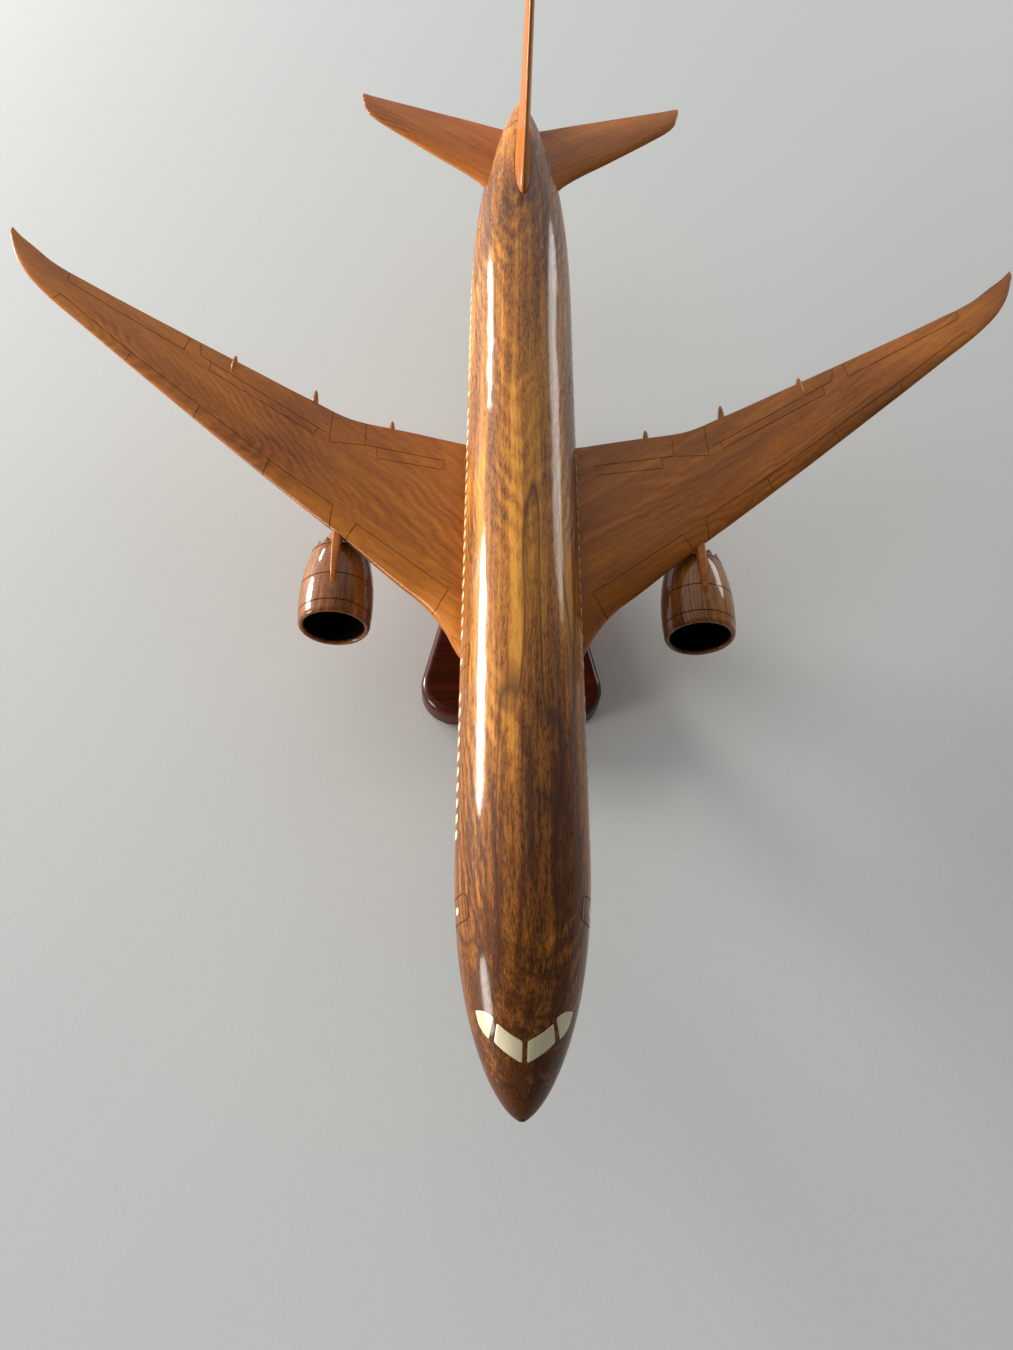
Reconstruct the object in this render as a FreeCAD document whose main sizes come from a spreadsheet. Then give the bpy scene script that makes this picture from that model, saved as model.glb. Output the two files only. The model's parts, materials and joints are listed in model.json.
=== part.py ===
import FreeCAD, Part
import math
import os

import Sketcher
from FreeCAD import Matrix, Placement, Rotation, Vector

# Carved wooden airliner model on a desk stand, millimetres, +Z up.
# The nose points to -Y and the aircraft's own left wing lies on +X. The aircraft pieces are drawn
# in stations: Y runs aft from the nose tip and Z up from the fuselage axis. One placement then sets
# them over the stand, so that the origin ends at the middle of the whole model, on the table.

OUT = "parts"
SHEET = "Sizes"

SIZES = {
    # whole model
    "axis_height": 100.0,
    "mid_station": 308.14,
    # fuselage: full section, then the nose and tail tapers
    "hull_length": 602.0,
    "hull_half_width": 29.2,
    "hull_half_height": 30.2,
    "nose_drop": 9.0,
    "nose_length": 110.0,
    "crown_nose_length": 125.0,
    "tail_start": 400.0,
    "keel_start": 385.0,
    "tail_end_half_width": 3.5,
    "tail_end_crown": 17.0,
    "tail_end_keel": 11.6,
    "belly_station": 300.0,
    "belly_half_length": 108.0,
    "belly_half_width": 29.4,
    "belly_half_depth": 21.0,
    "belly_level": -14.2,
    # wings, tailplanes and fin
    "wing_level": -12.0,
    "wing_dihedral": 0.073,
    "tailplane_level": 15.0,
    "tailplane_dihedral": 0.01,
    "edge_thickness": 0.9,
    "line_width": 0.45,
    "line_depth": 0.5,
    # dowels that hold the wings and the tailplanes
    "wing_dowel_radius": 2.5,
    "wing_dowel_half": 16.0,
    "wing_dowel_side": 27.5,
    "wing_dowel_front": 246.0,
    "wing_dowel_rear": 322.0,
    "tail_dowel_radius": 1.4,
    "tail_dowel_half": 9.0,
    "tail_dowel_side": 19.5,
    "tail_dowel_station": 549.0,
    # engines
    "engine_side": 93.9,
    "engine_station": 230.3,
    "engine_level": -26.5,
    "cowl_radius": 19.0,
    "cowl_length": 48.0,
    "intake_radius": 15.2,
    "intake_depth": 31.0,
    "bulkhead": 5.0,
    "nozzle_radius": 14.2,
    "nozzle_wall": 1.3,
    "ring_width": 0.6,
    "core_radius": 9.5,
    "core_length": 20.0,
    "cone_length": 10.0,
    "spigot_radius": 3.0,
    "pylon_half_front": 1.2,
    "pylon_half_width": 2.5,
    # inlaid windows and scribed doors
    "inlay_depth": 1.2,
    "window_length": 4.0,
    "window_height": 5.0,
    "window_pitch": 7.3,
    "window_level": 5.0,
    "window_depth": 1.8,
    "door_width": 11.0,
    "door_height": 24.0,
    "door_level": 3.6,
    # stand
    "peg_station": 312.0,
    "peg_radius": 3.0,
    "peg_clearance": 0.05,
    "peg_length": 47.0,
    "sleeve_radius": 5.0,
    "sleeve_flange": 6.5,
    "flange_thickness": 1.5,
    "bush_length": 22.0,
    "bush_floor": 2.0,
    "socket_floor": 2.0,
    "socket_length": 15.0,
    "felt_thickness": 1.0,
    "felt_inset": 3.0,
    "base_thickness": 14.0,
    "base_edge": 4.0,
    "base_front": 212.0,
    "base_rear": 398.0,
    "base_side": 31.0,
    "base_front_radius": 20.0,
    "base_rear_radius": 18.0,
    "post_height": 38.0,
    "post_foot_length": 24.0,
    "post_foot_width": 13.0,
    "post_waist_length": 15.0,
    "post_waist_width": 8.0,
    "post_head_length": 17.0,
    "post_head_width": 9.5,
    "screw_spacing": 13.0,
    "screw_head_radius": 4.0,
    "screw_radius": 2.0,
    "screw_length": 28.0,
    "screw_slot": 1.0,
}

# Wing ribs: distance from the centreline, station of the leading edge, station of the trailing edge,
# thickness. The first rib lies inside the fuselage and the wing is coped to the hull afterwards.
WING_RIBS = [
    (20.0, 196.0, 338.5, 15.5),
    (31.0, 209.5, 341.0, 15.0),
    (37.0, 221.0, 342.0, 14.4),
    (46.0, 233.2, 343.6, 13.2),
    (61.0, 246.2, 346.2, 11.4),
    (90.0, 271.4, 351.0, 8.8),
    (115.0, 292.0, 363.0, 7.4),
    (150.0, 321.5, 382.0, 6.0),
    (200.0, 364.5, 409.5, 4.4),
    (245.0, 403.5, 434.5, 3.2),
    (268.0, 423.6, 448.0, 2.6),
    (281.0, 437.6, 459.0, 2.2),
    (290.0, 452.0, 466.6, 1.8),
    (295.5, 466.5, 472.5, 1.3),
]
WING_BEND_START = 200.0
WING_BEND = 0.00026

TAIL_RIBS = [
    (4.0, 503.0, 574.0, 7.0),
    (20.0, 517.0, 579.0, 6.4),
    (27.0, 525.4, 581.4, 6.0),
    (55.0, 548.6, 590.2, 4.6),
    (85.0, 573.4, 599.6, 3.2),
    (94.0, 581.6, 602.4, 2.6),
    (99.5, 589.6, 604.4, 2.0),
    (101.8, 599.0, 605.2, 1.4),
]

# Fin ribs: level over the fuselage axis, then as for the wing.
FIN_RIBS = [
    (14.0, 496.0, 588.5, 9.6),
    (28.0, 498.0, 592.0, 9.2),
    (36.0, 505.6, 594.2, 7.4),
    (52.0, 519.4, 598.4, 6.0),
    (85.0, 547.2, 606.8, 5.0),
    (112.0, 570.0, 613.8, 4.2),
    (118.5, 578.5, 615.4, 3.6),
    (121.0, 590.0, 616.0, 3.0),
]

# Scribed lines on the upper side of a wing, as runs of (distance from the centreline, station).
WING_LINES = [
    [(44.0, 227.9), (35.8, 241.7), (84.0, 279.0), (91.5, 267.6)],
    [(98.8, 270.7), (97.0, 289.9), (131.6, 316.4), (180.0, 356.4), (213.2, 383.4), (258.7, 423.0)],
    [(131.9, 316.4), (136.5, 305.4)],
    [(172.5, 349.9), (177.0, 339.4)],
    [(214.2, 384.0), (218.3, 374.9)],
    [(258.7, 423.0), (265.2, 416.8)],
    [(187.0, 390.2), (257.5, 434.0), (258.1, 449.3)],
    [(187.0, 390.2), (184.3, 407.1)],
    [(102.3, 359.2), (102.6, 332.4)],
    [(105.4, 339.4), (177.1, 386.9), (180.3, 403.0)],
    [(109.7, 342.2), (110.5, 337.0), (171.6, 376.6), (171.1, 382.6)],
    [(84.0, 352.8), (83.6, 332.7), (102.6, 332.4)],
    [(41.1, 326.4), (83.3, 332.7)],
    [(76.9, 331.6), (76.9, 323.7), (40.8, 319.2), (41.1, 326.4)],
]

# Cockpit panes in plan, on the left side: distance from the centreline and station.
FRONT_PANE = [(1.0, 26.8), (6.2, 29.6), (11.0, 33.4), (11.9, 27.0), (6.8, 22.7), (1.0, 19.4)]
SIDE_PANE = [(12.1, 35.2), (13.6, 37.6), (19.3, 38.8), (18.0, 34.3), (13.8, 28.1)]
DOOR_STATIONS = [78.0, 195.0, 361.0, 478.0]
WINDOW_ROWS = [(111.0, 10), (210.0, 20), (375.0, 13)]
FLAP_FAIRINGS = [(70.5, 356.5, -3.5), (113.5, 373.0, -2.5), (159.5, 392.5, -1.5)]
FAIRING_RADII = (19.0, 2.2, 3.4)
CHEVRONS = 14
DRILL_REACH = 40.0
PRISM_HEIGHT = 60.0
PRISM_REACH = 45.0
LINE_FLOOR = 15.0
RIB_STEPS = 9
RING_STEPS = 16
BELLY_STEPS = 10

document = FreeCAD.newDocument("Airliner")
sheet = document.addObject("Spreadsheet::Sheet", SHEET)
for row, (alias, value) in enumerate(SIZES.items(), 1):
    sheet.set(f"A{row}", alias)
    sheet.set(f"B{row}", str(value))
    sheet.setAlias(f"B{row}", alias)
document.recompute()

nodes = []


def size(alias):
    """The value of one cell of the sheet."""
    return float(getattr(sheet, alias))


def amount(expression):
    """The value of a sheet expression, for the first drawing of a bound sketch."""
    return float(sheet.evalExpression(expression))


def cell(text):
    """A sheet expression with each alias pointed at the sheet."""
    words = text.split(" ")
    return " ".join(f"{SHEET}.{word}" if word in SIZES else word for word in words)


AIRCRAFT = Placement(Vector(0, -size("mid_station"), size("axis_height")), Rotation())


def keep(item, label):
    """Names a finished sub-part and puts it on the list of files."""
    item.Label = label
    nodes.append(item)
    return item


def shaped(label, shape, placement=AIRCRAFT):
    """A sub-part with a free-form shape, drawn from the sheet's sizes."""
    item = document.addObject("Part::Feature", label)
    item.Shape = shape.removeSplitter()
    item.Placement = placement
    return keep(item, label)


def mirrored(shape):
    """The same shape on the other side of the centreline."""
    return shape.mirror(Vector(0, 0, 0), Vector(1, 0, 0))


# ---------------------------------------------------------------- sketches bound to the sheet


def origin_item(body, role):
    for item in body.Origin.OriginFeatures:
        if item.Role == role:
            return item
    raise ValueError(role)


def blank_sketch(body, name, plane):
    sketch = body.newObject("Sketcher::SketchObject", name)
    sketch.AttachmentSupport = (origin_item(body, plane), "")
    sketch.MapMode = "FlatFace"
    return sketch


def bind(sketch, kind, places, expression):
    """One dimension of a sketch, driven by the sheet."""
    bound = cell(expression)
    index = sketch.addConstraint(Sketcher.Constraint(kind, *places, amount(bound)))
    sketch.setExpression(f"Constraints[{index}]", bound)


def outline(body, name, plane, corners):
    """A closed outline of straight runs and arcs. Each corner is a pair of sheet expressions, and
    a third expression makes the run that leaves it an arc of that radius, bulging to the left of
    the way it runs if the radius is positive."""
    sketch = blank_sketch(body, name, plane)
    places = [Vector(amount(cell(c[0])), amount(cell(c[1])), 0) for c in corners]
    ends = []
    for index, corner in enumerate(corners):
        here = places[index]
        there = places[(index + 1) % len(places)]
        if len(corner) == 2:
            sketch.addGeometry(Part.LineSegment(here, there), False)
            ends.append((1, 2))
            continue
        radius = amount(cell(corner[2]))
        chord = there - here
        left = Vector(-chord.y, chord.x, 0).normalize()
        rise = math.sqrt(radius * radius - chord.Length * chord.Length / 4)
        side = math.copysign(1.0, radius)
        centre = (here + there) * 0.5 - left * (rise * side)
        top = centre + left * (abs(radius) * side)
        sketch.addGeometry(Part.Arc(here, top, there), False)
        ends.append((2, 1) if radius > 0 else (1, 2))
    for index, corner in enumerate(corners):
        after = (index + 1) % len(corners)
        sketch.addConstraint(
            Sketcher.Constraint("Coincident", index, ends[index][1], after, ends[after][0])
        )
        bind(sketch, "DistanceX", (-1, 1, index, ends[index][0]), corner[0])
        bind(sketch, "DistanceY", (-1, 1, index, ends[index][0]), corner[1])
        if len(corner) == 3:
            bind(sketch, "Radius", (index,), corner[2].lstrip("-"))
    return sketch


def turned(label, corners, plane="XY_Plane"):
    """A piece turned on a lathe: the outline goes once round the sketch's upright axis."""
    body = document.addObject("PartDesign::Body", label)
    spin = body.newObject("PartDesign::Revolution", label + "_turning")
    spin.Profile = outline(body, label + "_outline", plane, corners)
    spin.ReferenceAxis = (spin.Profile[0], ["V_Axis"])
    spin.Angle = 360
    document.recompute()
    return body


# ---------------------------------------------------------------- fuselage


def taper(share, power, fullness):
    """Grows from 0 at a tip to 1 where the full section begins."""
    return (1 - (1 - min(max(share, 0.0), 1.0)) ** power) ** fullness


def hull_section(station):
    """Half width, crown and keel of the fuselage at a station."""
    full = size("hull_half_width")
    top = size("hull_half_height")
    tip = -size("nose_drop")
    width = full * taper(station / size("nose_length"), 2.4, 0.64)
    crown = tip + (top - tip) * taper(station / size("crown_nose_length"), 2.8, 0.873)
    keel = tip - (top + tip) * taper(station / size("nose_length"), 2.4, 0.5)
    length = size("hull_length")
    if station > size("tail_start"):
        share = (station - size("tail_start")) / (length - size("tail_start"))
        width -= (full - size("tail_end_half_width")) * share**3
        crown -= (top - size("tail_end_crown")) * share**3
    if station > size("keel_start"):
        share = (station - size("keel_start")) / (length - size("keel_start"))
        keel += (top + size("tail_end_keel")) * share**1.5
    return width, crown, keel


def ellipse_wire(station, half_width, low, high):
    """An upright ellipse across the fuselage, always started at its top."""
    middle = (low + high) / 2
    half_height = (high - low) / 2
    points = []
    for step in range(RING_STEPS):
        turn = 2 * math.pi * step / RING_STEPS
        level = middle + half_height * math.cos(turn)
        points.append(Vector(half_width * math.sin(turn), station, level))
    ring = Part.BSplineCurve()
    ring.interpolate(Points=points, PeriodicFlag=True)
    return Part.Wire(ring.toShape())


def hull_stations():
    """Stations of the lofted sections, closer together towards the nose tip."""
    nose = size("crown_nose_length")
    steps = 10
    stations = [nose * ((index + 0.5) / (steps + 0.5)) ** 2 for index in range(steps + 1)]
    middle = [200.0, 290.0, 350.0, 400.0]
    tail = [430.0, 460.0, 490.0, 520.0, 548.0, 574.0, 592.0, size("hull_length")]
    return stations + middle + tail


def hull_solid(inset=0.0):
    """The plain fuselage, or the same shape drawn in by an inset."""
    wires = []
    for station in hull_stations():
        width, crown, keel = hull_section(station)
        if width > 2.5 * inset:
            wires.append(ellipse_wire(station, width - inset, keel + inset, crown - inset))
    return Part.makeLoft(wires, True, False)


def belly_fairing():
    """The shallow bulge under the wing roots, a lofted ellipsoid."""
    wires = []
    for step in range(BELLY_STEPS + 1):
        along = -math.cos(math.pi * (step + 0.5) / (BELLY_STEPS + 1))
        shrink = math.sqrt(1 - along * along)
        depth = size("belly_half_depth") * shrink
        station = size("belly_station") + size("belly_half_length") * along
        low = size("belly_level") - depth
        high = size("belly_level") + depth
        wires.append(ellipse_wire(station, size("belly_half_width") * shrink, low, high))
    return Part.makeLoft(wires, True, False)


# ---------------------------------------------------------------- wings, tailplanes and fin


def foil_points(nose, tail, thickness):
    """Chord station and offset of points round a section, from the trailing edge over the top."""
    chord = tail - nose
    edge = size("edge_thickness") / 2
    upper = []
    for step in range(RIB_STEPS + 1):
        share = (1 - math.cos(math.pi * step / RIB_STEPS)) / 2
        swell = 2.969 * math.sqrt(share) - 1.26 * share - 3.516 * share**2
        swell += 2.843 * share**3 - 1.036 * share**4
        upper.append((nose + chord * share, thickness * swell / 2 + edge * share))
    lower = [(station, -offset) for station, offset in upper[1:]]
    return upper[::-1] + lower


def foil_solid(rows):
    """A solid from one smooth skin through the sections, a flat trailing edge and flat ends."""
    surface = Part.BSplineSurface()
    surface.interpolate(rows)
    skin = surface.toShape()
    ends = []
    spans = []
    for edge in skin.Edges:
        points = [vertex.Point for vertex in edge.Vertexes]
        closed = any((points[0] - row[0]).Length < 0.01 for row in (rows[0], rows[-1]))
        reach = (points[0] - points[-1]).Length
        (ends if closed and reach < 3 * size("edge_thickness") else spans).append(edge)
    faces = [skin, Part.makeRuledSurface(*spans)]
    for edge in ends:
        first, last = [vertex.Point for vertex in edge.Vertexes]
        faces.append(Part.Face(Part.Wire([edge, Part.LineSegment(first, last).toShape()])))
    solid = Part.Solid(Part.makeShell(faces))
    if solid.Volume < 0:
        solid.reverse()
    return solid


def wing_height(side):
    level = size("wing_level") + size("wing_dihedral") * (side - 30.0)
    return level + WING_BEND * max(0.0, side - WING_BEND_START) ** 2


def flat_height(side):
    return size("tailplane_level") + size("tailplane_dihedral") * side


def panel(ribs, height, crown=1.0):
    """A wing or tailplane lofted through upright ribs. The crown raises the upper side and
    flattens the lower one."""
    rows = []
    for side, nose, tail, thickness in ribs:
        row = []
        for station, offset in foil_points(nose, tail, thickness):
            shape = crown if offset > 0 else 2 - crown
            row.append(Vector(side, station, height(side) + offset * shape))
        rows.append(row)
    return foil_solid(rows)


def fin_solid():
    rows = []
    for level, nose, tail, thickness in FIN_RIBS:
        rows.append([Vector(o, s, level) for s, o in foil_points(nose, tail, thickness)])
    return foil_solid(rows)


def blade(start, end):
    """A thin upright blade over one straight scribed line, seen in plan."""
    width = size("line_width")
    run = Vector(end[0] - start[0], end[1] - start[1], 0)
    corner = Vector(-width / 2, -width / 2, -PRISM_HEIGHT / 2)
    cutter = Part.makeBox(run.Length + width, width, PRISM_HEIGHT, corner)
    turn = Rotation(Vector(0, 0, 1), math.degrees(math.atan2(run.y, run.x)))
    cutter.Placement = Placement(Vector(start[0], start[1], 0), turn)
    return cutter


def scribed(wing):
    """The wing with its control surface and slat lines cut into the upper side."""
    floor = wing.translated(Vector(0, 0, -size("line_depth")))
    cuts = []
    for line in WING_LINES:
        for start, end in zip(line, line[1:]):
            cuts.append(blade(start, end).cut(floor))
    return wing.cut(cuts)


# ---------------------------------------------------------------- small pieces in the hull


def plan_prism(corners):
    """An upright prism over a plan outline, above the fuselage axis."""
    wire = Part.makePolygon([Vector(x, y, 0) for x, y in corners + corners[:1]])
    return Part.Face(wire).extrude(Vector(0, 0, PRISM_HEIGHT))


def side_prism(station, level, length, height, power, floor):
    """A prism along +X from a floor outwards. Its outline is one smooth curve between an ellipse
    and a rectangle, squarer the smaller the power."""
    points = []
    for step in range(RING_STEPS):
        turn = 2 * math.pi * (step + 0.5) / RING_STEPS
        along = math.copysign(abs(math.cos(turn)) ** power, math.cos(turn)) * length / 2
        up = math.copysign(abs(math.sin(turn)) ** power, math.sin(turn)) * height / 2
        points.append(Vector(floor, station + along, level + up))
    ring = Part.BSplineCurve()
    ring.interpolate(Points=points, PeriodicFlag=True)
    return Part.Face(Part.Wire(ring.toShape())).extrude(Vector(PRISM_REACH - floor, 0, 0))


def window_cutters():
    """The recess of each cabin window and of the small window in each door."""
    cutters = []
    long = size("window_length")
    tall = size("window_height")
    for first, count in WINDOW_ROWS:
        for index in range(count):
            station = first + index * size("window_pitch")
            floor = hull_section(station)[0] - size("window_depth")
            cutters.append(side_prism(station, size("window_level"), long, tall, 0.6, floor))
    for station in DOOR_STATIONS:
        floor = hull_section(station)[0] - size("window_depth")
        cutters.append(side_prism(station, size("window_level") + 1.0, 3.0, 4.0, 0.6, floor))
    return cutters


def inlay(cutter):
    """The inlay that fills a recess flush with the stretch of hull beside it."""
    reach = cutter.BoundBox.YLength
    middle = (cutter.BoundBox.YMin + cutter.BoundBox.YMax) / 2
    wires = []
    for station in (middle - reach, middle + reach):
        width, crown, keel = hull_section(station)
        wires.append(ellipse_wire(station, width, keel, crown))
    return cutter.common(Part.makeLoft(wires, True, True))


def door_rings():
    """The thin scribed outline of each door, as tube-like prisms."""
    rings = []
    wide = size("door_width")
    tall = size("door_height")
    line = size("line_width")
    level = size("door_level")
    for station in DOOR_STATIONS:
        outer = side_prism(station, level, wide, tall, 0.3, LINE_FLOOR)
        inner = side_prism(station, level, wide - 2 * line, tall - 2 * line, 0.3, LINE_FLOOR - 1)
        rings.append(outer.cut(inner))
    return rings


def dowel(radius, half, middle, way):
    """A straight dowel through a joint, given by its middle and direction."""
    return Part.makeCylinder(radius, 2 * half, middle - way * half, way)


def canoe(middle):
    """A slim pointed fairing, longer along the flight direction."""
    along, across, deep = FAIRING_RADII
    stretch = Matrix()
    stretch.scale(across, along, deep)
    return Part.makeSphere(1.0).transformGeometry(stretch).translated(middle)


# ---------------------------------------------------------------- engines


COWL = [
    ("intake_radius", "2", "-2.2"),
    ("cowl_radius - 0.6", "3.2", "-110"),
    ("nozzle_radius + 0.5", "cowl_length - 3"),
    ("nozzle_radius", "cowl_length"),
    ("nozzle_radius - nozzle_wall", "cowl_length"),
    ("nozzle_radius - nozzle_wall", "intake_depth + bulkhead"),
    ("spigot_radius", "intake_depth + bulkhead"),
    ("spigot_radius", "intake_depth"),
    ("intake_radius - 1.2", "intake_depth"),
    ("intake_radius - 1.2", "12"),
]

CORE = [
    ("0", "intake_depth"),
    ("spigot_radius", "intake_depth"),
    ("spigot_radius", "intake_depth + bulkhead"),
    ("core_radius", "intake_depth + bulkhead", "-60"),
    ("core_radius - 2.4", "intake_depth + bulkhead + core_length"),
    ("core_radius - 4.6", "intake_depth + bulkhead + core_length"),
    ("1", "intake_depth + bulkhead + core_length + cone_length"),
    ("0", "intake_depth + bulkhead + core_length + cone_length"),
]

# Scribed rings round the cowl: distance aft of the lip and the skin radius there.
COWL_RINGS = [("6.4", "18.7"), ("22.0", "18.7"), ("42.5", "15.4")]
RING_REACH = 24.0


def cowl(label):
    """The engine barrel: turned, bored from both ends, ringed and notched at the back."""
    body = turned(label, COWL)
    rings = body.newObject("PartDesign::Groove", label + "_rings")
    sketch = blank_sketch(body, label + "_ring_outline", "XY_Plane")
    for number, (aft, radius) in enumerate(COWL_RINGS):
        first = 4 * number
        inner = float(radius) - size("line_depth")
        low = float(aft) - size("ring_width") / 2
        high = low + size("ring_width")
        corners = [(inner, low), (RING_REACH, low), (RING_REACH, high), (inner, high)]
        for index, corner in enumerate(corners):
            after = corners[(index + 1) % 4]
            line = Part.LineSegment(Vector(*corner, 0), Vector(*after, 0))
            sketch.addGeometry(line, False)
        for index in range(4):
            places = (first + index, 2, first + (index + 1) % 4, 1)
            sketch.addConstraint(Sketcher.Constraint("Coincident", *places))
            kind = "Horizontal" if index % 2 == 0 else "Vertical"
            sketch.addConstraint(Sketcher.Constraint(kind, first + index))
        bind(sketch, "DistanceX", (-1, 1, first, 1), radius + " - line_depth")
        bind(sketch, "DistanceY", (-1, 1, first, 1), aft + " - ring_width / 2")
        bind(sketch, "DistanceY", (first + 1, 1, first + 1, 2), "ring_width")
        bind(sketch, "DistanceX", (first, 1, first, 2), f"{RING_REACH} - {radius} + line_depth")
    rings.Profile = sketch
    rings.ReferenceAxis = (sketch, ["V_Axis"])
    rings.Angle = 360
    document.recompute()
    before = body.Shape.Volume
    notch = body.newObject("PartDesign::Pocket", label + "_notch")
    notch.Profile = outline(
        body,
        label + "_notch_outline",
        "XY_Plane",
        [("-3.2", "cowl_length + 1"), ("0", "cowl_length - 3.4"), ("3.2", "cowl_length + 1")],
    )
    notch.Type = "ThroughAll"
    notch.Reversed = True
    document.recompute()
    around = body.newObject("PartDesign::PolarPattern", label + "_chevrons")
    around.Originals = [notch]
    around.Axis = (origin_item(body, "Y_Axis"), [""])
    around.Angle = 360
    around.Occurrences = CHEVRONS
    body.Tip = around
    document.recompute()
    if body.Shape.Volume > before - 1.0:
        raise RuntimeError(label + ": the chevrons were not cut")
    return body


def engine_place(side):
    """Where an engine's own origin, the middle of its lip, stands under the wing."""
    where = Vector(side * size("engine_side"), size("engine_station"), size("engine_level"))
    return AIRCRAFT.multiply(Placement(where, Rotation()))


def bound_to_engine(item, way):
    """An engine piece follows the sheet's engine position."""
    item.setExpression("Placement.Base.x", way + f"{SHEET}.engine_side")
    item.setExpression("Placement.Base.y", cell("engine_station - mid_station"))
    item.setExpression("Placement.Base.z", cell("axis_height + engine_level"))


# The pylon from the side: distance aft of the intake lip and height over the engine's axis.
PYLON_SIDE = [
    (15.0, 18.4),
    (20.0, 20.4),
    (32.0, 21.2),
    (46.0, 20.2),
    (60.0, 18.5),
    (82.0, 15.5),
    (70.0, 11.5),
    (60.0, 8.0),
    (50.0, 8.0),
    (48.5, 13.6),
    (36.0, 15.6),
    (19.0, 17.5),
]


def prism(corners, way):
    """A closed outline drawn out along a direction."""
    return Part.Face(Part.makePolygon(corners + corners[:1])).extrude(way)


def pylon_blank(side):
    """The upright wedge between an engine and its wing, before it is coped to both."""
    middle = Vector(side, size("engine_station"), size("engine_level"))
    front, full = size("pylon_half_front"), size("pylon_half_width")
    outline = [middle + Vector(-full, aft, up) for aft, up in PYLON_SIDE]
    upright = prism(outline, Vector(2 * full, 0, 0))
    half_plan = [(front, 15.0), (full, 46.0), (full, 60.0), (front / 2, 82.0)]
    plan = [middle + Vector(half, aft, 0) for half, aft in half_plan]
    plan += [middle + Vector(-half, aft, 0) for half, aft in half_plan[::-1]]
    return upright.common(prism(plan, Vector(0, 0, size("cowl_radius") * 2)))


# ---------------------------------------------------------------- stand


def base_outline(body, inset):
    """Rounded triangle: a wide round front under the nose side, tapering to a round back."""
    sketch = blank_sketch(body, body.Label + "_outline", "XY_Plane")
    side = size("base_side")
    wide = size("base_front_radius")
    small = size("base_rear_radius")
    front = size("base_front") + wide - size("mid_station")
    rear = size("base_rear") - small - size("mid_station")
    lean = math.atan2(side, rear - front)
    spread = math.hypot(side, rear - front)
    turn = lean + math.asin((small - wide) / spread)
    out = Vector(math.cos(turn), math.sin(turn), 0)
    left = Vector(-math.cos(turn), math.sin(turn), 0)
    right_middle = Vector(side, front, 0)
    left_middle = Vector(-side, front, 0)
    back_middle = Vector(0, rear, 0)
    down = Vector(0, -1, 0)
    corner = Vector(math.cos((turn - math.pi / 2) / 2), math.sin((turn - math.pi / 2) / 2), 0)
    mirror_corner = Vector(-corner.x, corner.y, 0)
    back = Vector(0, 1, 0)
    wide -= inset
    small -= inset
    arcs = [
        (right_middle, wide, down, corner, out),
        (back_middle, small, out, back, left),
        (left_middle, wide, left, mirror_corner, down),
    ]
    for middle, radius, start, way, end in arcs:
        points = [middle + direction * radius for direction in (start, way, end)]
        sketch.addGeometry(Part.Arc(*points), False)
    ends = [middle + end * radius for middle, radius, start, way, end in arcs]
    starts = [middle + start * radius for middle, radius, start, way, end in arcs]
    for index in range(3):
        after = (index + 1) % 3
        sketch.addGeometry(Part.LineSegment(ends[index], starts[after]), False)
        sketch.addConstraint(Sketcher.Constraint("Tangent", index, 2, 3 + index, 1))
        sketch.addConstraint(Sketcher.Constraint("Tangent", 3 + index, 2, after, 1))
    shrink = f" - {inset}" if inset else ""
    across = "base_side"
    ahead = "base_front + base_front_radius - mid_station"
    behind = "base_rear - base_rear_radius - mid_station"
    bind(sketch, "Radius", (0,), "base_front_radius" + shrink)
    bind(sketch, "Radius", (1,), "base_rear_radius" + shrink)
    bind(sketch, "Radius", (2,), "base_front_radius" + shrink)
    bind(sketch, "DistanceX", (-1, 1, 0, 3), across)
    bind(sketch, "DistanceY", (-1, 1, 0, 3), ahead)
    bind(sketch, "DistanceX", (2, 3, -1, 1), across)
    bind(sketch, "DistanceX", (-1, 1, 1, 3), "0")
    bind(sketch, "DistanceY", (-1, 1, 1, 3), behind)
    return sketch


def plate(label, inset, thickness):
    """A flat piece with the base's outline."""
    body = document.addObject("PartDesign::Body", label)
    body.Label = label
    pad = body.newObject("PartDesign::Pad", label + "_pad")
    pad.Profile = base_outline(body, inset)
    pad.setExpression("Length", cell(thickness))
    document.recompute()
    return body


def eased(body, radius):
    """Rounds the upper edge of a flat piece."""
    top = body.Shape.BoundBox.ZMax
    edges = []
    for index, edge in enumerate(body.Shape.Edges, 1):
        if edge.BoundBox.ZMin > top - 0.01:
            edges.append(f"Edge{index}")
    pad = body.Tip
    fillet = body.newObject("PartDesign::Fillet", body.Label + "_edge")
    fillet.Base = (pad, edges)
    fillet.setExpression("Radius", cell(radius))
    document.recompute()
    return body


def oval(label, length, width, height):
    """A level ellipse, longer along Y, at a height over the foot of the post."""
    ring = document.addObject("Part::Ellipse", label)
    ring.setExpression("MajorRadius", cell(length))
    ring.setExpression("MinorRadius", cell(width))
    ring.Placement = Placement(Vector(0, 0, 0), Rotation(Vector(0, 0, 1), 90))
    ring.setExpression("Placement.Base.z", cell(height))
    return ring


def cut(label, base, tool):
    """One piece with another's space taken out of it."""
    item = document.addObject("Part::Cut", label)
    item.Base = base
    item.Tool = tool
    return item


SCREW = [
    ("0", "0"),
    ("screw_head_radius", "0"),
    ("screw_head_radius", "0.6"),
    ("screw_radius", "0.6 + screw_head_radius - screw_radius"),
    ("screw_radius", "screw_length - 4"),
    ("0", "screw_length"),
]

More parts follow.
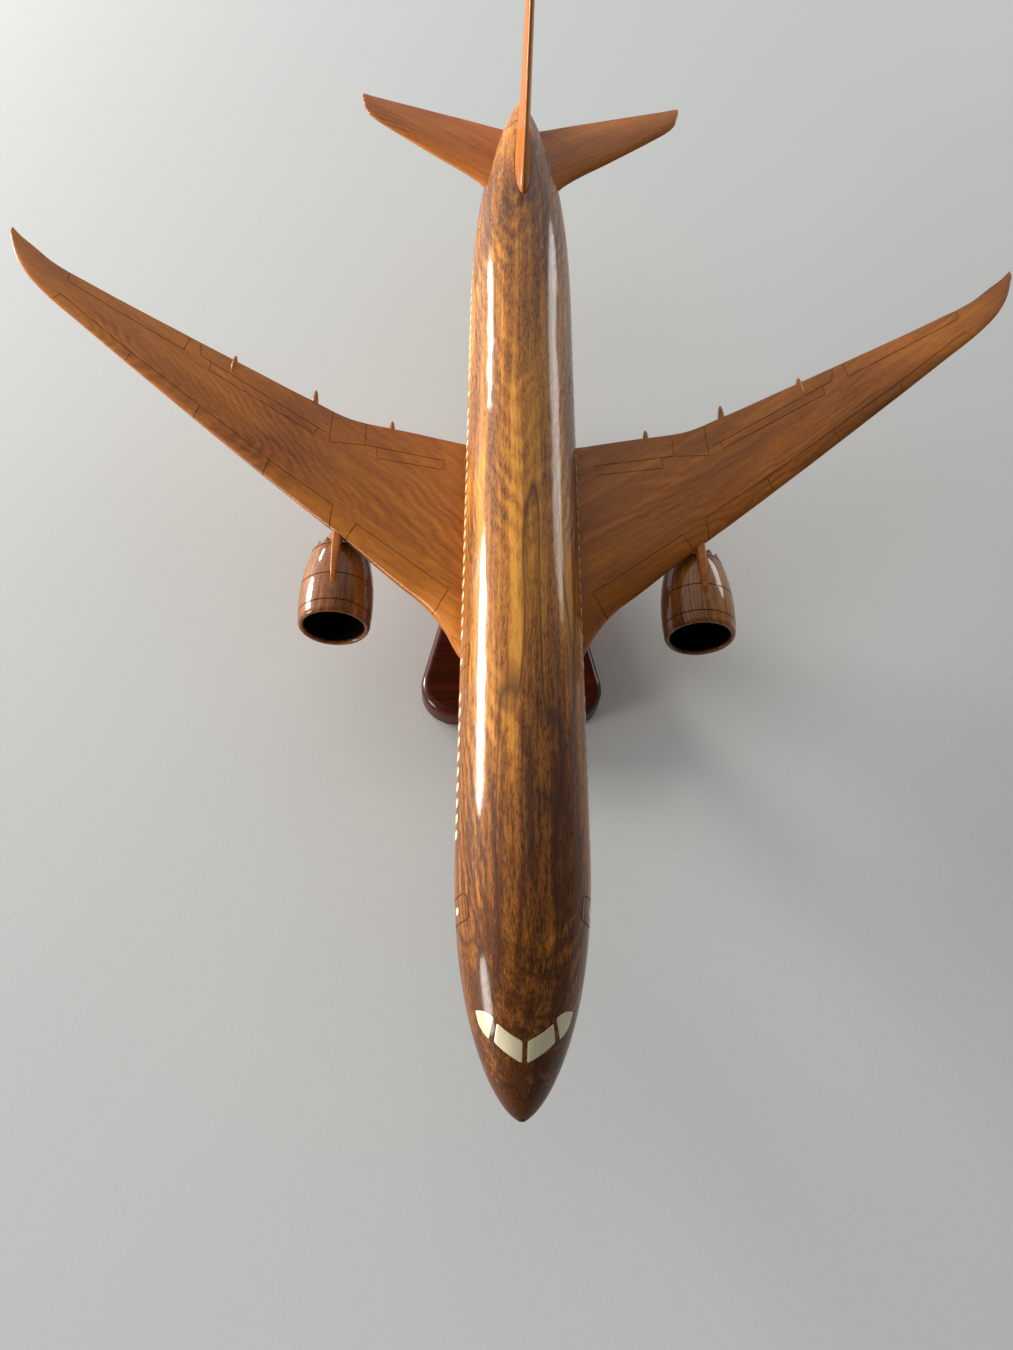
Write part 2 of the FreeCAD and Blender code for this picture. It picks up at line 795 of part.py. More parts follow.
BUSH = [
    ("0", "0"),
    ("sleeve_radius", "0"),
    ("sleeve_radius", "bush_length"),
    ("sleeve_flange", "bush_length"),
    ("sleeve_flange", "bush_length + flange_thickness"),
    ("peg_radius + peg_clearance", "bush_length + flange_thickness"),
    ("peg_radius + peg_clearance", "bush_floor"),
    ("0", "bush_floor"),
]
PEG = [
    ("0", "0"),
    ("peg_radius - 0.5", "0"),
    ("peg_radius", "0.5"),
    ("peg_radius", "peg_length - 1"),
    ("peg_radius - 1", "peg_length"),
    ("0", "peg_length"),
]
SOCKET = [
    ("0", "0"),
    ("sleeve_radius", "0"),
    ("sleeve_radius", "0 - socket_length"),
    ("sleeve_flange", "0 - socket_length"),
    ("sleeve_flange", "0 - socket_length - flange_thickness"),
    ("peg_radius + peg_clearance", "0 - socket_length - flange_thickness"),
    ("peg_radius + peg_clearance", "0 - socket_floor"),
    ("0", "0 - socket_floor"),
]


# ---------------------------------------------------------------- building the stand

base_top = "felt_thickness + base_thickness"
post_top = base_top + " + post_height"
peg_foot = post_top + " - bush_length + bush_floor"
peg_head = peg_foot + " + peg_length + socket_floor"


def at_peg(item, height):
    """Sets a turned piece on the peg's axis, its origin at a height over the table."""
    item.Placement = Placement(Vector(0, 0, 0), Rotation(Vector(1, 0, 0), 90))
    item.setExpression("Placement.Base.y", cell("peg_station - mid_station"))
    item.setExpression("Placement.Base.z", cell(height))


felt = keep(plate("felt_underlay", size("felt_inset"), "felt_thickness"), "felt_underlay")

base_blank = eased(plate("base_blank", 0.0, "base_thickness"), "base_edge")
base_blank.setExpression("Placement.Base.z", cell("felt_thickness"))


def screw(label, way):
    """A countersunk wood screw, driven up through the base into the post."""
    blank = turned(label + "_blank", SCREW)
    at_peg(blank, "felt_thickness")
    blank.setExpression(
        "Placement.Base.y", cell("peg_station - mid_station " + way + " screw_spacing")
    )
    slot = document.addObject("Part::Box", label + "_slot")
    slot.setExpression("Length", cell("2 * screw_head_radius + 2"))
    slot.setExpression("Width", cell("screw_slot"))
    slot.setExpression("Height", cell("screw_slot"))
    slot.setExpression("Placement.Base.x", cell("0 - screw_head_radius - 1"))
    slot.setExpression(
        "Placement.Base.y",
        cell("peg_station - mid_station " + way + " screw_spacing - screw_slot / 2"),
    )
    slot.setExpression("Placement.Base.z", cell("felt_thickness"))
    return blank, cut(label, blank, slot)


def gathered(label, shapes, placement=AIRCRAFT):
    """Small separate pieces of one kind that share a node."""
    item = document.addObject("Part::Feature", label)
    item.Shape = Part.makeCompound(shapes)
    item.Placement = placement
    return keep(item, label)


def post_blank():
    """The upright: an oval column with a spread foot and head."""
    post_waist = base_top + " + post_height * 0.55"
    rings = [
        oval("post_foot", "post_foot_length", "post_foot_width", base_top),
        oval("post_waist", "post_waist_length", "post_waist_width", post_waist),
        oval("post_head", "post_head_length", "post_head_width", post_top),
    ]
    for ring in rings:
        ring.setExpression("Placement.Base.y", cell("peg_station - mid_station"))
    column = document.addObject("Part::Loft", "post_column")
    column.Sections = rings
    column.Solid = True
    column.Ruled = False
    return column


def bore(label, radius, length, height):
    """An upright round hole on the peg's axis."""
    drill = document.addObject("Part::Cylinder", label)
    drill.setExpression("Radius", cell(radius))
    drill.setExpression("Height", cell(length))
    drill.setExpression("Placement.Base.y", cell("peg_station - mid_station"))
    drill.setExpression("Placement.Base.z", cell(height))
    return drill


screw_front_blank, screw_front = screw("screw_front", "-")
screw_back_blank, screw_back = screw("screw_back", "+")
document.recompute()

screw_holes = document.addObject("Part::MultiFuse", "screw_holes")
screw_holes.Shapes = [screw_front_blank, screw_back_blank]
keep(cut("stand_base", base_blank, screw_holes), "stand_base")

post_bore = bore("post_bore", "sleeve_radius", "bush_length", post_top + " - bush_length")
post_holes = document.addObject("Part::MultiFuse", "post_holes")
post_holes.Shapes = [post_bore, screw_holes]
keep(cut("stand_post", post_blank(), post_holes), "stand_post")
document.recompute()
gathered("post_screws", [screw_front.Shape, screw_back.Shape], Placement())

bush = keep(turned("post_bush", BUSH), "post_bush")
at_peg(bush, post_top + " - bush_length")
peg = keep(turned("peg", PEG), "peg")
at_peg(peg, peg_foot)
socket = keep(turned("peg_socket", SOCKET), "peg_socket")
at_peg(socket, peg_head)
document.recompute()

# ---------------------------------------------------------------- building the aircraft


def in_stations(shape):
    """A placed shape brought back into the aircraft's stations."""
    moved = shape.copy()
    moved.Placement = AIRCRAFT.inverse().multiply(moved.Placement)
    return moved


plain_hull = hull_solid()
hull = plain_hull.fuse(belly_fairing())
inlay_floor = hull_solid(size("inlay_depth"))
line_floor = hull_solid(size("line_depth"))

wing_blank = panel(WING_RIBS, wing_height, 1.15)
tail_blank = panel(TAIL_RIBS, flat_height)
fin_blank = fin_solid()

wing_dowels = []
for place in ("wing_dowel_front", "wing_dowel_rear"):
    middle = Vector(size("wing_dowel_side"), size(place), size("wing_level"))
    wing_dowels.append(
        dowel(size("wing_dowel_radius"), size("wing_dowel_half"), middle, Vector(1, 0, 0))
    )
tail_dowel = dowel(
    size("tail_dowel_radius"),
    size("tail_dowel_half"),
    Vector(
        size("tail_dowel_side"),
        size("tail_dowel_station"),
        flat_height(size("tail_dowel_side")),
    ),
    Vector(1, 0, 0),
)

left_wing = scribed(wing_blank.cut(hull)).cut(wing_dowels)
left_tailplane = tail_blank.cut(hull).cut(tail_dowel)

panes = []
pane_cutters = []
for corners in (FRONT_PANE, SIDE_PANE):
    pane_cutters.append(plan_prism(corners).cut(inlay_floor))
    panes.append(pane_cutters[-1].common(plain_hull))
cutters = window_cutters()
windows = [inlay(cutter) for cutter in cutters]
doors = [ring.cut(line_floor) for ring in door_rings()]

one_side = pane_cutters + cutters + doors + wing_dowels + [tail_dowel]
socket_room = in_stations(socket.Shape.fuse(peg.Shape))
socket_foot = in_stations(socket.Shape).BoundBox.ZMin
socket_drill = Part.makeCylinder(
    size("sleeve_radius"),
    DRILL_REACH,
    Vector(0, size("peg_station"), socket_room.BoundBox.ZMax - DRILL_REACH),
)
flange_drill = Part.makeCylinder(
    size("sleeve_flange"),
    DRILL_REACH,
    Vector(0, size("peg_station"), socket_foot + size("flange_thickness") - DRILL_REACH),
)
taken_out = one_side + [mirrored(shape) for shape in one_side]
taken_out += [fin_blank, socket_drill, flange_drill]
shaped("fuselage", hull.cut(taken_out))
shaped("fin", fin_blank)

for side, name in ((1, "left"), (-1, "right")):
    handed = (lambda shape: shape) if side == 1 else mirrored
    shaped("wing_" + name, handed(left_wing))
    shaped("tailplane_" + name, handed(left_tailplane))
    shaped("windscreen_" + name, handed(panes[0]))
    shaped("side_window_" + name, handed(panes[1]))
    gathered("cabin_windows_" + name, [handed(shape) for shape in windows])

    barrel = keep(cowl("engine_cowl_" + name), "engine_cowl_" + name)
    core = keep(turned("exhaust_core_" + name, CORE), "exhaust_core_" + name)
    for piece in (barrel, core):
        piece.Placement = engine_place(side)
        bound_to_engine(piece, "" if side == 1 else "0 - ")
    document.recompute()

    blank = pylon_blank(side * size("engine_side"))
    neighbours = [in_stations(barrel.Shape), in_stations(core.Shape), handed(wing_blank)]
    coped = blank.cut(neighbours)
    shaped("pylon_" + name, max(coped.Solids, key=lambda solid: solid.Volume))

    canoes = []
    for across, tip, drop in FLAP_FAIRINGS:
        middle = Vector(across, tip - FAIRING_RADII[0], wing_height(across) + drop)
        canoes.append(handed(canoe(middle).cut(wing_blank)))
    gathered("flap_fairings_" + name, canoes)

gathered("wing_dowels", wing_dowels + [mirrored(shape) for shape in wing_dowels])
gathered("tailplane_dowels", [tail_dowel, mirrored(tail_dowel)])

# ---------------------------------------------------------------- files

document.recompute()
for item in document.Objects:
    if "Invalid" in item.State or "Error" in item.State:
        raise RuntimeError(item.Name + " failed")
os.makedirs(OUT, exist_ok=True)
for item in nodes:
    if item.Shape.isNull() or not item.Shape.isValid():
        raise RuntimeError(item.Label + " has no valid shape")
    item.Shape.exportStep(os.path.join(OUT, item.Label + ".step"))
    box = item.Shape.BoundBox
    print(
        f"{item.Label:24s} {len(item.Shape.Solids):3d} solids {item.Shape.Volume / 1000:9.2f} cm3"
        f"  X {box.XMin:8.2f} {box.XMax:8.2f}  Y {box.YMin:8.2f} {box.YMax:8.2f}"
        f"  Z {box.ZMin:8.2f} {box.ZMax:8.2f}"
    )
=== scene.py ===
import json
import math

import bmesh
import bpy
from mathutils import Matrix, Vector


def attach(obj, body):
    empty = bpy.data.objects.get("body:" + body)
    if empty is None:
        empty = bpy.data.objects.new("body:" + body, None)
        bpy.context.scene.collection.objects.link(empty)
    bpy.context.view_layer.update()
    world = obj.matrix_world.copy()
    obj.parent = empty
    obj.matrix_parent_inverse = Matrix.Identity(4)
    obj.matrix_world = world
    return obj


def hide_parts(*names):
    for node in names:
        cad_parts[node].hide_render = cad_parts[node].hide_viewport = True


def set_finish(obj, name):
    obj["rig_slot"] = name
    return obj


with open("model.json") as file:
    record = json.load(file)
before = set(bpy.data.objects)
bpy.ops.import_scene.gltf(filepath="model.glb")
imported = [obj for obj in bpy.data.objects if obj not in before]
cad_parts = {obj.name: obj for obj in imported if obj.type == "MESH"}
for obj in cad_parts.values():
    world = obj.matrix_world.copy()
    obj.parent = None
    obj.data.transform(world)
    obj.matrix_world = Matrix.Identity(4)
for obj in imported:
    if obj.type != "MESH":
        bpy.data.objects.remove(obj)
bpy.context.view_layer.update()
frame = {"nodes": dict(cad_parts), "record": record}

# The aircraft pieces are drawn in millimetres in stations, as the CAD part is: Y aft from the nose
# tip and Z up from the fuselage axis. place() turns them into the row frame, in metres.
MM = 0.001
NOSE = -308.14
AXIS = 100.0

# ------------------------------------------------------------------ small mathematics


def smooth_line(knots, values):
    """A smooth function through given values that never overshoots them."""
    steps = [b - a for a, b in zip(knots, knots[1:])]
    slopes = [(b - a) / step for a, b, step in zip(values, values[1:], steps)]
    tangents = [slopes[0]]
    for index in range(1, len(slopes)):
        before, after = slopes[index - 1], slopes[index]
        if before * after <= 0:
            tangents.append(0.0)
            continue
        first = 2 * steps[index] + steps[index - 1]
        second = steps[index] + 2 * steps[index - 1]
        tangents.append((first + second) / (first / before + second / after))
    tangents.append(slopes[-1])

    def value(knot):
        index = 0
        while index < len(steps) - 1 and knot > knots[index + 1]:
            index += 1
        step = steps[index]
        share = (knot - knots[index]) / step
        share = min(max(share, 0.0), 1.0)
        a, b = values[index], values[index + 1]
        rise = share * share * (3 - 2 * share)
        lead = share * (1 - share) ** 2 * tangents[index] * step
        trail = share * share * (share - 1) * tangents[index + 1] * step
        return a + (b - a) * rise + lead + trail

    return value


def blended_max(a, b, width):
    """The larger of two lengths, with a fillet where they cross."""
    overlap = max(width - abs(a - b), 0.0) / width
    return max(a, b) + overlap * overlap * width / 4


def between(a, b, share):
    return a + (b - a) * share


# ------------------------------------------------------------------ meshes


def place(point):
    """A point of the aircraft, from stations in millimetres to the row frame in metres."""
    return Vector((point[0] * MM, (point[1] + NOSE) * MM, (point[2] + AXIS) * MM))


def on_table(point):
    """A point of the stand: across, fore and aft of the frame's origin, and up from the table."""
    return Vector(point) * MM


def add_mesh(name, points, faces, body, slot_name, stands_for=(), to_frame=place):
    """Makes a piece that rides on a body and stands for CAD nodes."""
    mesh = bpy.data.meshes.new(name)
    mesh.from_pydata([to_frame(p) for p in points], [], faces)
    piece = bpy.data.objects.new(name, mesh)
    bpy.context.scene.collection.objects.link(piece)
    work = bmesh.new()
    work.from_mesh(mesh)
    bmesh.ops.remove_doubles(work, verts=work.verts, dist=1e-7)
    bmesh.ops.recalc_face_normals(work, faces=work.faces)
    work.to_mesh(mesh)
    work.free()
    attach(piece, body)
    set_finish(piece, slot_name)
    if stands_for:
        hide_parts(*stands_for)
    return piece


def soften(piece, angle=32.0):
    """Smooth shading, with edges sharper than the angle kept crisp."""
    mesh = piece.data
    work = bmesh.new()
    work.from_mesh(mesh)
    limit = math.radians(angle)
    for edge in work.edges:
        edge.smooth = len(edge.link_faces) == 2 and edge.calc_face_angle(0.0) < limit
    for face in work.faces:
        face.smooth = True
    work.to_mesh(mesh)
    work.free()


def loft(rings, caps=True):
    """Points and faces of a skin through closed rings that have the same number of points."""
    count = len(rings[0])
    points = [p for ring in rings for p in ring]
    faces = []
    for row in range(len(rings) - 1):
        for side in range(count):
            after = (side + 1) % count
            low = row * count
            faces.append((low + side, low + after, low + count + after, low + count + side))
    if caps:
        faces.append(tuple(range(count)))
        faces.append(tuple(range(len(points) - count, len(points))))
    return points, faces


# How far a cutter stands out of the surface it cuts.
CUTTER_RISE = 1.2


def channel(points, normals, width, depth, closed):
    """Points and faces of a square-bottomed cutter that runs along a line on a surface."""
    rings = []
    count = len(points)
    for index, point in enumerate(points):
        before = points[index - 1] if closed or index else point
        after = points[(index + 1) % count] if closed or index < count - 1 else point
        along = (after - before).normalized()
        normal = (normals[index] - along * normals[index].dot(along)).normalized()
        across = along.cross(normal) * (width / 2)
        top = normal * CUTTER_RISE
        foot = normal * -depth
        rings.append([point - across + top, point + across + top, point + across + foot,
                      point - across + foot])
    if closed:
        rings.append(rings[0])
    return loft(rings, caps=not closed)


def joined(parts):
    """Several (points, faces) as one."""
    points, faces = [], []
    for part_points, part_faces in parts:
        start = len(points)
        points += part_points
        faces += [tuple(start + corner for corner in face) for face in part_faces]
    return points, faces


def carve(piece, cutters):
    """Cuts a list of (points, faces) out of a piece."""
    points, faces = joined(cutters)
    mesh = bpy.data.meshes.new("cutter")
    mesh.from_pydata([place(p) for p in points], [], faces)
    tool = bpy.data.objects.new("cutter", mesh)
    bpy.context.scene.collection.objects.link(tool)
    work = bmesh.new()
    work.from_mesh(mesh)
    bmesh.ops.remove_doubles(work, verts=work.verts, dist=1e-8)
    bmesh.ops.recalc_face_normals(work, faces=work.faces)
    work.to_mesh(mesh)
    work.free()
    cut = piece.modifiers.new("lines", "BOOLEAN")
    cut.operation = "DIFFERENCE"
    cut.solver = "EXACT"
    cut.use_self = True
    cut.object = tool
    graph = bpy.context.evaluated_depsgraph_get()
    carved = bpy.data.meshes.new_from_object(piece.evaluated_get(graph))
    piece.modifiers.clear()
    piece.data = carved
    bpy.data.objects.remove(tool)
    bpy.data.meshes.remove(mesh)


# ------------------------------------------------------------------ fuselage

HALF_WIDTH = 29.2
HALF_HEIGHT = 30.2
NOSE_DROP = 9.0
NOSE_LENGTH = 110.0
CROWN_LENGTH = 125.0
LENGTH = 602.0
TAIL_START = 400.0
KEEL_START = 385.0
TAIL_HALF_WIDTH = 3.5
TAIL_CROWN = 17.0
TAIL_KEEL = 11.6
BELLY = {"station": 300.0, "length": 108.0, "width": 29.4, "depth": 21.0, "level": -14.2}
HULL_SIDES = 144


def taper(share, power, fullness):
    """Grows from 0 at a tip to 1 where the full section begins."""
    return (1 - (1 - min(max(share, 0.0), 1.0)) ** power) ** fullness


def hull_section(station):
    """Half width, crown and keel of the fuselage at a station."""
    width = HALF_WIDTH * taper(station / NOSE_LENGTH, 2.4, 0.64)
    crown = (HALF_HEIGHT + NOSE_DROP) * taper(station / CROWN_LENGTH, 2.8, 0.873) - NOSE_DROP
    keel = (NOSE_DROP - HALF_HEIGHT) * taper(station / NOSE_LENGTH, 2.4, 0.5) - NOSE_DROP
    if station > TAIL_START:
        share = (station - TAIL_START) / (LENGTH - TAIL_START)
        width -= (HALF_WIDTH - TAIL_HALF_WIDTH) * share**3
        crown -= (HALF_HEIGHT - TAIL_CROWN) * share**3
    if station > KEEL_START:
        share = (station - KEEL_START) / (LENGTH - KEEL_START)
        keel += (HALF_HEIGHT + TAIL_KEEL) * share**1.5
    return width, crown, keel


def belly_reach(station, middle, across, up):
    """How far the belly bulge reaches from the hull's middle along a direction."""
    along = (station - BELLY["station"]) / BELLY["length"]
    if abs(along) >= 1:
        return 0.0
    shrink = math.sqrt(1 - along * along)
    wide = BELLY["width"] * shrink
    deep = BELLY["depth"] * shrink
    drop = middle - BELLY["level"]
    a = (across / wide) ** 2 + (up / deep) ** 2
    b = 2 * drop * up / deep**2
    c = (drop / deep) ** 2 - 1
    inside = b * b - 4 * a * c
    return max((-b + math.sqrt(inside)) / (2 * a), 0.0) if inside > 0 else 0.0


def hull_point(station, turn, swell=0.0):
    """A point of the skin: turn is the angle round the section from the crown to the left."""
    width, crown, keel = hull_section(station)
    middle = (crown + keel) / 2
    across = (width + swell) * math.sin(turn)
    up = ((crown - keel) / 2 + swell) * math.cos(turn)
    reach = math.hypot(across, up)
    if reach > 1e-9:
        far = belly_reach(station, middle, across / reach, up / reach)
        grown = blended_max(reach, far, 3.0) / reach
        across *= grown
        up *= grown
    return Vector((across, station, middle + up))


def hull_normal(station, turn):
    step = 0.2
    along = hull_point(station + step, turn) - hull_point(station - step, turn)
    round_hull = hull_point(station, turn + 0.01) - hull_point(station, turn - 0.01)
    return round_hull.cross(along).normalized()


def turn_at_level(station, level):
    """The angle round the section where the left side stands at a level."""
    _, crown, keel = hull_section(station)
    share = (level - (crown + keel) / 2) / ((crown - keel) / 2)
    return math.acos(min(max(share, -1.0), 1.0))


def turn_at_side(station, side):
    """The angle round the section where the upper skin lies at a distance from the centreline."""
    width = hull_section(station)[0]
    return math.asin(min(max(side / width, -1.0), 1.0))


def squircle(count, power):
    """Points of a rounded square of half side 1, evenly spaced; squarer the smaller the power."""
    fine = []
    for step in range(8 * count + 1):
        turn = 2 * math.pi * step / (8 * count)
        x, y = math.cos(turn), math.sin(turn)
        fine.append((math.copysign(abs(x) ** power, x), math.copysign(abs(y) ** power, y)))
    run = [0.0]
    for (x0, y0), (x1, y1) in zip(fine, fine[1:]):
        run.append(run[-1] + math.hypot(x1 - x0, y1 - y0))
    points, index = [], 0
    for step in range(count):
        want = run[-1] * (step + 0.5) / count
        while run[index + 1] < want:
            index += 1
        share = (want - run[index]) / (run[index + 1] - run[index])
        (x0, y0), (x1, y1) = fine[index], fine[index + 1]
        points.append((between(x0, x1, share), between(y0, y1, share)))
    return points


DOORS = [78.0, 195.0, 361.0, 478.0]
DOOR_WIDTH = 11.0
DOOR_HEIGHT = 24.0
DOOR_LEVEL = 3.6
LINE_WIDTH = 0.5
DOOR_LINE_DEPTH = 0.5
WING_LINE_DEPTH = 0.4
SEAM_DEPTH = 0.7


def door_channel(station, hand):
    """The scribed outline of a door on one side of the hull."""
    points, normals = [], []
    for along, up in squircle(96, 0.28):
        where = station + along * DOOR_WIDTH / 2
        turn = hand * turn_at_level(where, DOOR_LEVEL + up * DOOR_HEIGHT / 2)
        points.append(hull_point(where, turn))
        normals.append(hull_normal(where, turn))
    return channel(points, normals, LINE_WIDTH, DOOR_LINE_DEPTH, True)


def hull_rings():
    stations = [CROWN_LENGTH * (step / 70) ** 2 for step in range(1, 71)]
    stations += [CROWN_LENGTH + 3.0 * step for step in range(1, 92)]
    stations += [between(TAIL_START, LENGTH, step / 84) for step in range(1, 85)]
    rings = []
    for station in stations:
        turns = [2 * math.pi * side / HULL_SIDES for side in range(HULL_SIDES)]
        rings.append([hull_point(station, turn) for turn in turns])
    middle = Vector((0, LENGTH, (TAIL_CROWN + TAIL_KEEL) / 2))
    for shrink, out in ((0.93, 0.35), (0.78, 0.75), (0.5, 1.05)):
        shift = Vector((0, out, 0))
        rings.append([middle + (p - middle) * shrink + shift for p in rings[len(stations) - 1]])
    return rings


def build_fuselage():
    rings = hull_rings()
    tip = Vector((0, 0, -NOSE_DROP))
    points, faces = loft(rings, caps=False)
    points.append(tip)
    for side in range(HULL_SIDES):
        faces.append((len(points) - 1, side, (side + 1) % HULL_SIDES))
    last = (len(rings) - 1) * HULL_SIDES
    faces.append(tuple(range(last, last + HULL_SIDES)))
    piece = add_mesh("fuselage_body", points, faces, "aircraft", "hull_wood", ["fuselage"])
    cutters = [door_channel(station, hand) for station in DOORS for hand in (1, -1)]
    cutters.append(fin_seam())
    carve(piece, cutters)
    soften(piece, 38.0)
    return piece


# ------------------------------------------------------------------ inlays in the fuselage

INLAY_PROUD = 0.05
WINDOW_ROWS = [(111.0, 10), (210.0, 20), (375.0, 13)]
WINDOW_PITCH = 7.3
WINDOW_LEVEL = 5.0
WINDOW_SIZE = (4.0, 5.0)
DOOR_WINDOW_SIZE = (3.0, 4.0)
FRONT_PANE = {"sill": [(1.0, 19.4), (6.8, 22.7), (11.9, 27.0)],
              "head": [(1.0, 26.8), (6.2, 29.6), (11.0, 33.4)]}
SIDE_PANE = {"sill": [(13.8, 28.1), (16.2, 31.0), (18.0, 34.3)],
             "head": [(12.1, 35.2), (15.4, 37.6), (19.3, 38.8)]}


def inlay(outline, to_hull, rings=7):
    """A thin inlay whose face follows the hull, with an eased edge let into the wood. to_hull
    turns a point of the outline and a height over the skin into a point."""
    count = len(outline)
    levels = [(step / rings, INLAY_PROUD) for step in range(1, rings + 1)]
    levels[-1] = (0.985, INLAY_PROUD)
    levels += [(1.0, INLAY_PROUD - 0.04), (1.0, -0.6)]
    skins = [[to_hull(u * share, v * share, rise) for u, v in outline] for share, rise in levels]
    points, faces = loft(skins, caps=False)
    points.append(to_hull(0, 0, INLAY_PROUD))
    for side in range(count):
        faces.append((len(points) - 1, side, (side + 1) % count))
    last = (len(skins) - 1) * count
    faces.append(tuple(range(last, last + count)))
    return points, faces


def quadratic(three, share):
    """A point on the parabola through three points."""
    a = (1 - share) * (1 - 2 * share)
    b = 4 * share * (1 - share)
    c = share * (2 * share - 1)
    return tuple(a * p + b * q + c * r for p, q, r in zip(*three))


def pane(shape, hand):
    def to_hull(u, v, rise):
        low = quadratic(shape["sill"], (u + 1) / 2)
        high = quadratic(shape["head"], (u + 1) / 2)
        side = between(low[0], high[0], (v + 1) / 2)
        station = between(low[1], high[1], (v + 1) / 2)
        turn = hand * turn_at_side(station, side)
        return hull_point(station, turn) + hull_normal(station, turn) * rise

    return inlay(squircle(96, 0.12), to_hull, 10)


def side_window(station, level, length, height, hand):
    def to_hull(u, v, rise):
        where = station + u * length / 2
        turn = hand * turn_at_level(where, level + v * height / 2)
        return hull_point(where, turn) + hull_normal(where, turn) * rise

    return inlay(squircle(32, 0.6), to_hull, 4)


def build_inlays():
    pieces = []
    for hand, name in ((1, "left"), (-1, "right")):
        for shape, label in ((FRONT_PANE, "windscreen_"), (SIDE_PANE, "side_window_")):
            points, faces = pane(shape, hand)
            node = label + name
            pieces.append(add_mesh(node + "_inlay", points, faces, "aircraft", "window_inlay",
                                   [node]))
        windows = []
        for first, count in WINDOW_ROWS:
            for index in range(count):
                station = first + index * WINDOW_PITCH
                windows.append(side_window(station, WINDOW_LEVEL, *WINDOW_SIZE, hand))
        for station in DOORS:
            windows.append(side_window(station, WINDOW_LEVEL + 1.0, *DOOR_WINDOW_SIZE, hand))
        points, faces = joined(windows)
        node = "cabin_windows_" + name
        pieces.append(add_mesh(node + "_inlays", points, faces, "aircraft", "window_inlay", [node]))
    for piece in pieces:
        soften(piece, 50.0)
    return pieces


# ------------------------------------------------------------------ wings, tailplanes and fin

# Ribs: distance out from the centreline, leading edge, trailing edge, thickness.
WING_RIBS = [
    (20.0, 196.0, 338.5, 15.5),
    (31.0, 209.5, 341.0, 15.0),
    (37.0, 221.0, 342.0, 14.4),
    (46.0, 233.2, 343.6, 13.2),
    (61.0, 246.2, 346.2, 11.4),
    (90.0, 271.4, 351.0, 8.8),
    (115.0, 292.0, 363.0, 7.4),
    (150.0, 321.5, 382.0, 6.0),
    (200.0, 364.5, 409.5, 4.4),
    (245.0, 403.5, 434.5, 3.2),
    (268.0, 423.6, 448.0, 2.6),
    (281.0, 437.6, 459.0, 2.2),
    (290.0, 452.0, 466.6, 1.8),
    (295.5, 466.5, 472.5, 1.3),
]
TAIL_RIBS = [
    (4.0, 503.0, 574.0, 7.0),
    (20.0, 517.0, 579.0, 6.4),
    (27.0, 525.4, 581.4, 6.0),
    (55.0, 548.6, 590.2, 4.6),
    (85.0, 573.4, 599.6, 3.2),
    (94.0, 581.6, 602.4, 2.6),
    (99.5, 589.6, 604.4, 2.0),
    (101.8, 599.0, 605.2, 1.4),
]
# Fin ribs: level over the fuselage axis, then as above.
FIN_RIBS = [
    (14.0, 496.0, 588.5, 9.6),
    (28.0, 498.0, 592.0, 9.2),
    (36.0, 505.6, 594.2, 7.4),
    (52.0, 519.4, 598.4, 6.0),
    (85.0, 547.2, 606.8, 5.0),
    (112.0, 570.0, 613.8, 4.2),
    (118.5, 578.5, 615.4, 3.6),
    (121.0, 590.0, 616.0, 3.0),
]
# The level at which the fin's skin enters the hull.
FIN_FOOT = 27.0
EDGE_THICKNESS = 0.9
# Scribed lines of slats, flaps and spoilers, as corners in plan.
WING_LINES = [
    [(44.0, 227.9), (35.8, 241.7), (84.0, 279.0), (91.5, 267.6)],
    [(98.8, 270.7), (97.0, 289.9), (131.6, 316.4), (180.0, 356.4), (213.2, 383.4), (258.7, 423.0)],
    [(131.9, 316.4), (136.5, 305.4)],
    [(172.5, 349.9), (177.0, 339.4)],
    [(214.2, 384.0), (218.3, 374.9)],
    [(258.7, 423.0), (265.2, 416.8)],
    [(187.0, 390.2), (257.5, 434.0), (258.1, 449.3)],
    [(187.0, 390.2), (184.3, 407.1)],
    [(102.3, 359.2), (102.6, 332.4)],
    [(105.4, 339.4), (177.1, 386.9), (180.3, 403.0)],
    [(109.7, 342.2), (110.5, 337.0), (171.6, 376.6), (171.1, 382.6)],
    [(84.0, 352.8), (83.6, 332.7), (102.6, 332.4)],
    [(41.1, 326.4), (83.3, 332.7)],
    [(76.9, 331.6), (76.9, 323.7), (40.8, 319.2), (41.1, 326.4)],
]


